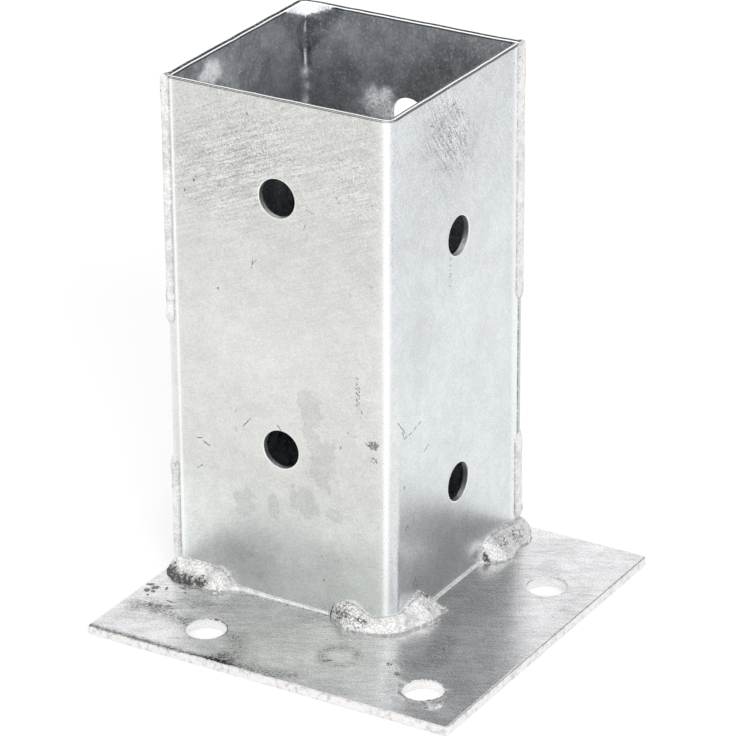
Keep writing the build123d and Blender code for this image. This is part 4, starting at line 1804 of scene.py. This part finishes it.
@dataclass(frozen=True)
class Studio:
    """A white room: soft lamps, a white floor that keeps the shadow, and two grey cards.

    Lengths are in metres and angles in degrees. The cards are curved bands that only reflections
    see, and each lamp is a square that looks at the middle of the sleeve.
    """

    floor_reach: float = 12.0
    floor_drop: float = 0.05 * MM
    floor_glow: float = 0.49
    floor_grey: float = 0.5
    ambient: float = 0.62
    card_distance: float = 2.0
    card_heights: tuple[float, float] = (0.3, 1.9)
    card_half_angle: float = 34.0
    card_places: int = 18
    cards: tuple = (("card_front_left", (-0.52, -0.80), 0.76), ("card_back_right", (0.52, 0.80), 0.20))
    lamps: tuple = (
        ("lamp_key", (-0.9, -1.3, 1.5), 1.1, 12.0),
        ("lamp_fill", (1.25, -1.05, 0.95), 1.0, 23.0),
        ("lamp_top", (0.1, 0.6, 1.9), 1.2, 8.0),
    )
    lamp_target: tuple[float, float, float] = (0.0, 0.0, 0.08)

    def build(self) -> None:
        """Makes the world, the floor, the cards and the lamps."""
        self.world()
        self.floor()
        for card in self.cards:
            self.card(*card)
        for lamp in self.lamps:
            self.lamp(*lamp)

    @staticmethod
    def white_rays(g: Graph) -> Socket:
        """One for camera, glossy and transmission rays."""
        path = g.add("ShaderNodeLightPath").outputs
        return g.most(path["Is Camera Ray"], path["Is Glossy Ray"], path["Is Transmission Ray"])

    def world(self) -> None:
        """A white background for those rays, and plain soft light for the rest."""
        made = bpy.data.worlds.new("studio")
        bpy.context.scene.world = made
        made.use_nodes = True
        g = Graph(made.node_tree)
        strength = g.plus(self.ambient, g.times(self.white_rays(g), 1.0 - self.ambient))
        g.give(made.node_tree.nodes["Background"], Strength=strength, Color=(1.0, 1.0, 1.0, 1.0))

    @staticmethod
    def surface(mesh: bpy.types.Mesh, glow: dict[str, Value]) -> tuple[Graph, bpy.types.Node]:
        """Gives a mesh a glowing material, and hands over its graph and its glow."""
        material = bpy.data.materials.new(mesh.name)
        material.use_nodes = True
        g = Graph(material.node_tree)
        g.tree.nodes.remove(g.tree.nodes["Principled BSDF"])
        made = g.add("ShaderNodeEmission", glow)
        g.give(g.tree.nodes["Material Output"], Surface=made.outputs[0])
        mesh.materials.append(material)
        return g, made

    def floor(self) -> None:
        """A white floor under the plate that keeps the object's shadow."""
        mesh = bpy.data.meshes.new("studio_floor")
        reach = self.floor_reach
        corners = [(x * reach, y * reach, 0.0) for x, y in ((-1, -1), (1, -1), (1, 1), (-1, 1))]
        mesh.from_pydata(corners, [], [(0, 1, 2, 3)])
        g, glow = self.surface(mesh, {})
        grey = (self.floor_grey, self.floor_grey, self.floor_grey, 1.0)
        diffuse = g.add("ShaderNodeBsdfDiffuse", {"Color": grey})
        total = g.add("ShaderNodeAddShader", {0: diffuse.outputs[0], 1: glow.outputs[0]})
        g.give(glow, Strength=g.times(self.white_rays(g), self.floor_glow))
        g.give(g.tree.nodes["Material Output"], Surface=total.outputs[0])
        made = put("studio_floor", mesh)
        made.location.z = -self.floor_drop

    def card(self, name: str, way: tuple[float, float], tone: float) -> None:
        """A grey card in one direction: a band round the object between two heights."""
        half = self.card_half_angle
        angles = math.atan2(way[1], way[0]) + np.radians(np.linspace(-half, half, self.card_places))
        x, y = self.card_distance * np.cos(angles), self.card_distance * np.sin(angles)
        rows = [np.stack([x, y, 0 * angles + z], axis=1) for z in self.card_heights]
        mesh = bpy.data.meshes.new(name)
        index = np.arange(2 * len(angles)).reshape(2, len(angles))
        mesh.from_pydata(np.concatenate(rows).tolist(), [], strips(index, closed=False).tolist())
        self.surface(mesh, {"Color": (tone, tone, tone, 1.0), "Strength": 1.0})
        made = put(name, mesh)
        for ray in ("camera", "diffuse", "shadow", "transmission"):
            setattr(made, f"visible_{ray}", False)

    def lamp(self, name: str, place: tuple[float, float, float], size: float, power: float) -> None:
        """A square soft lamp that isn't mirrored in the metal."""
        light = bpy.data.lights.new(name, "AREA")
        light.shape = "SQUARE"
        light.size = size
        light.energy = power
        made = put(name, light)
        made.visible_glossy = False
        back = np.array(place) - np.array(self.lamp_target)
        back = back / np.linalg.norm(back)
        made.matrix_world = standing(*upright(back), back, place)


@dataclass(frozen=True)
class Viewpoint:
    """The camera of the photograph: bearing, height and roll in degrees, lengths in millimetres."""

    bearing: float = 31.056
    height: float = 24.607
    roll: float = -0.449
    distance: float = 1186.4
    focal_pixels: float = 4140.1
    aside: float = -0.46
    above: float = -4.69
    target_height: float = 80.0
    frame_pixels: float = 736.0
    sensor: float = 36.0
    clip_metres: tuple[float, float] = (0.05, 40.0)

    def build(self) -> None:
        """Makes the camera and puts it to use."""
        turn, lift, roll = (math.radians(a) for a in (self.bearing, self.height, self.roll))
        level = math.cos(lift)
        back = np.array([math.sin(turn) * level, -math.cos(turn) * level, math.sin(lift)])
        right, up = upright(back)
        place = np.array([0.0, 0.0, self.target_height]) + back * self.distance
        place = (place + right * self.aside + up * self.above) * MM
        across = math.cos(roll) * right + math.sin(roll) * up
        upward = -math.sin(roll) * right + math.cos(roll) * up
        data = bpy.data.cameras.new("studio_camera")
        data.sensor_width = self.sensor
        data.lens = self.focal_pixels * self.sensor / self.frame_pixels
        data.clip_start, data.clip_end = self.clip_metres
        made = put("studio_camera", data)
        made.matrix_world = standing(across, upward, back, place)
        bpy.context.scene.camera = made


def main() -> None:
    """Loads the frame, and builds every piece, the studio and the camera."""
    logging.basicConfig(level=logging.INFO, format="%(name)s: %(message)s")
    for thing in list(bpy.data.objects):
        bpy.data.objects.remove(thing)
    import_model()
    bpy.context.scene.view_settings.view_transform = "Standard"
    effects = Effects()
    plate, weld = (kind().material(effects) for kind in (PlateFinish, WeldFinish))
    sheet = SheetFinish()
    front = sheet.outside(effects, "dipped_front", FRONT_SCRATCHES, FRONT_LIGHT_SCRATCHES)
    side = sheet.outside(effects, "dipped_side", SIDE_SCRATCHES, ())
    plain = sheet.outside(effects, "dipped_plain", (), ())
    inside = sheet.within(effects)
    BasePlate().build(plate)
    SleeveHalf(Turn.FRONT, 101).build([front, side, inside])
    SleeveHalf(Turn.BACK, 131).build([plain, plain, inside])
    for bead in [*seam_beads(), *foot_beads()]:
        bead.build(weld)
    Studio().build()
    Viewpoint().build()


if __name__ == "__main__":
    main()
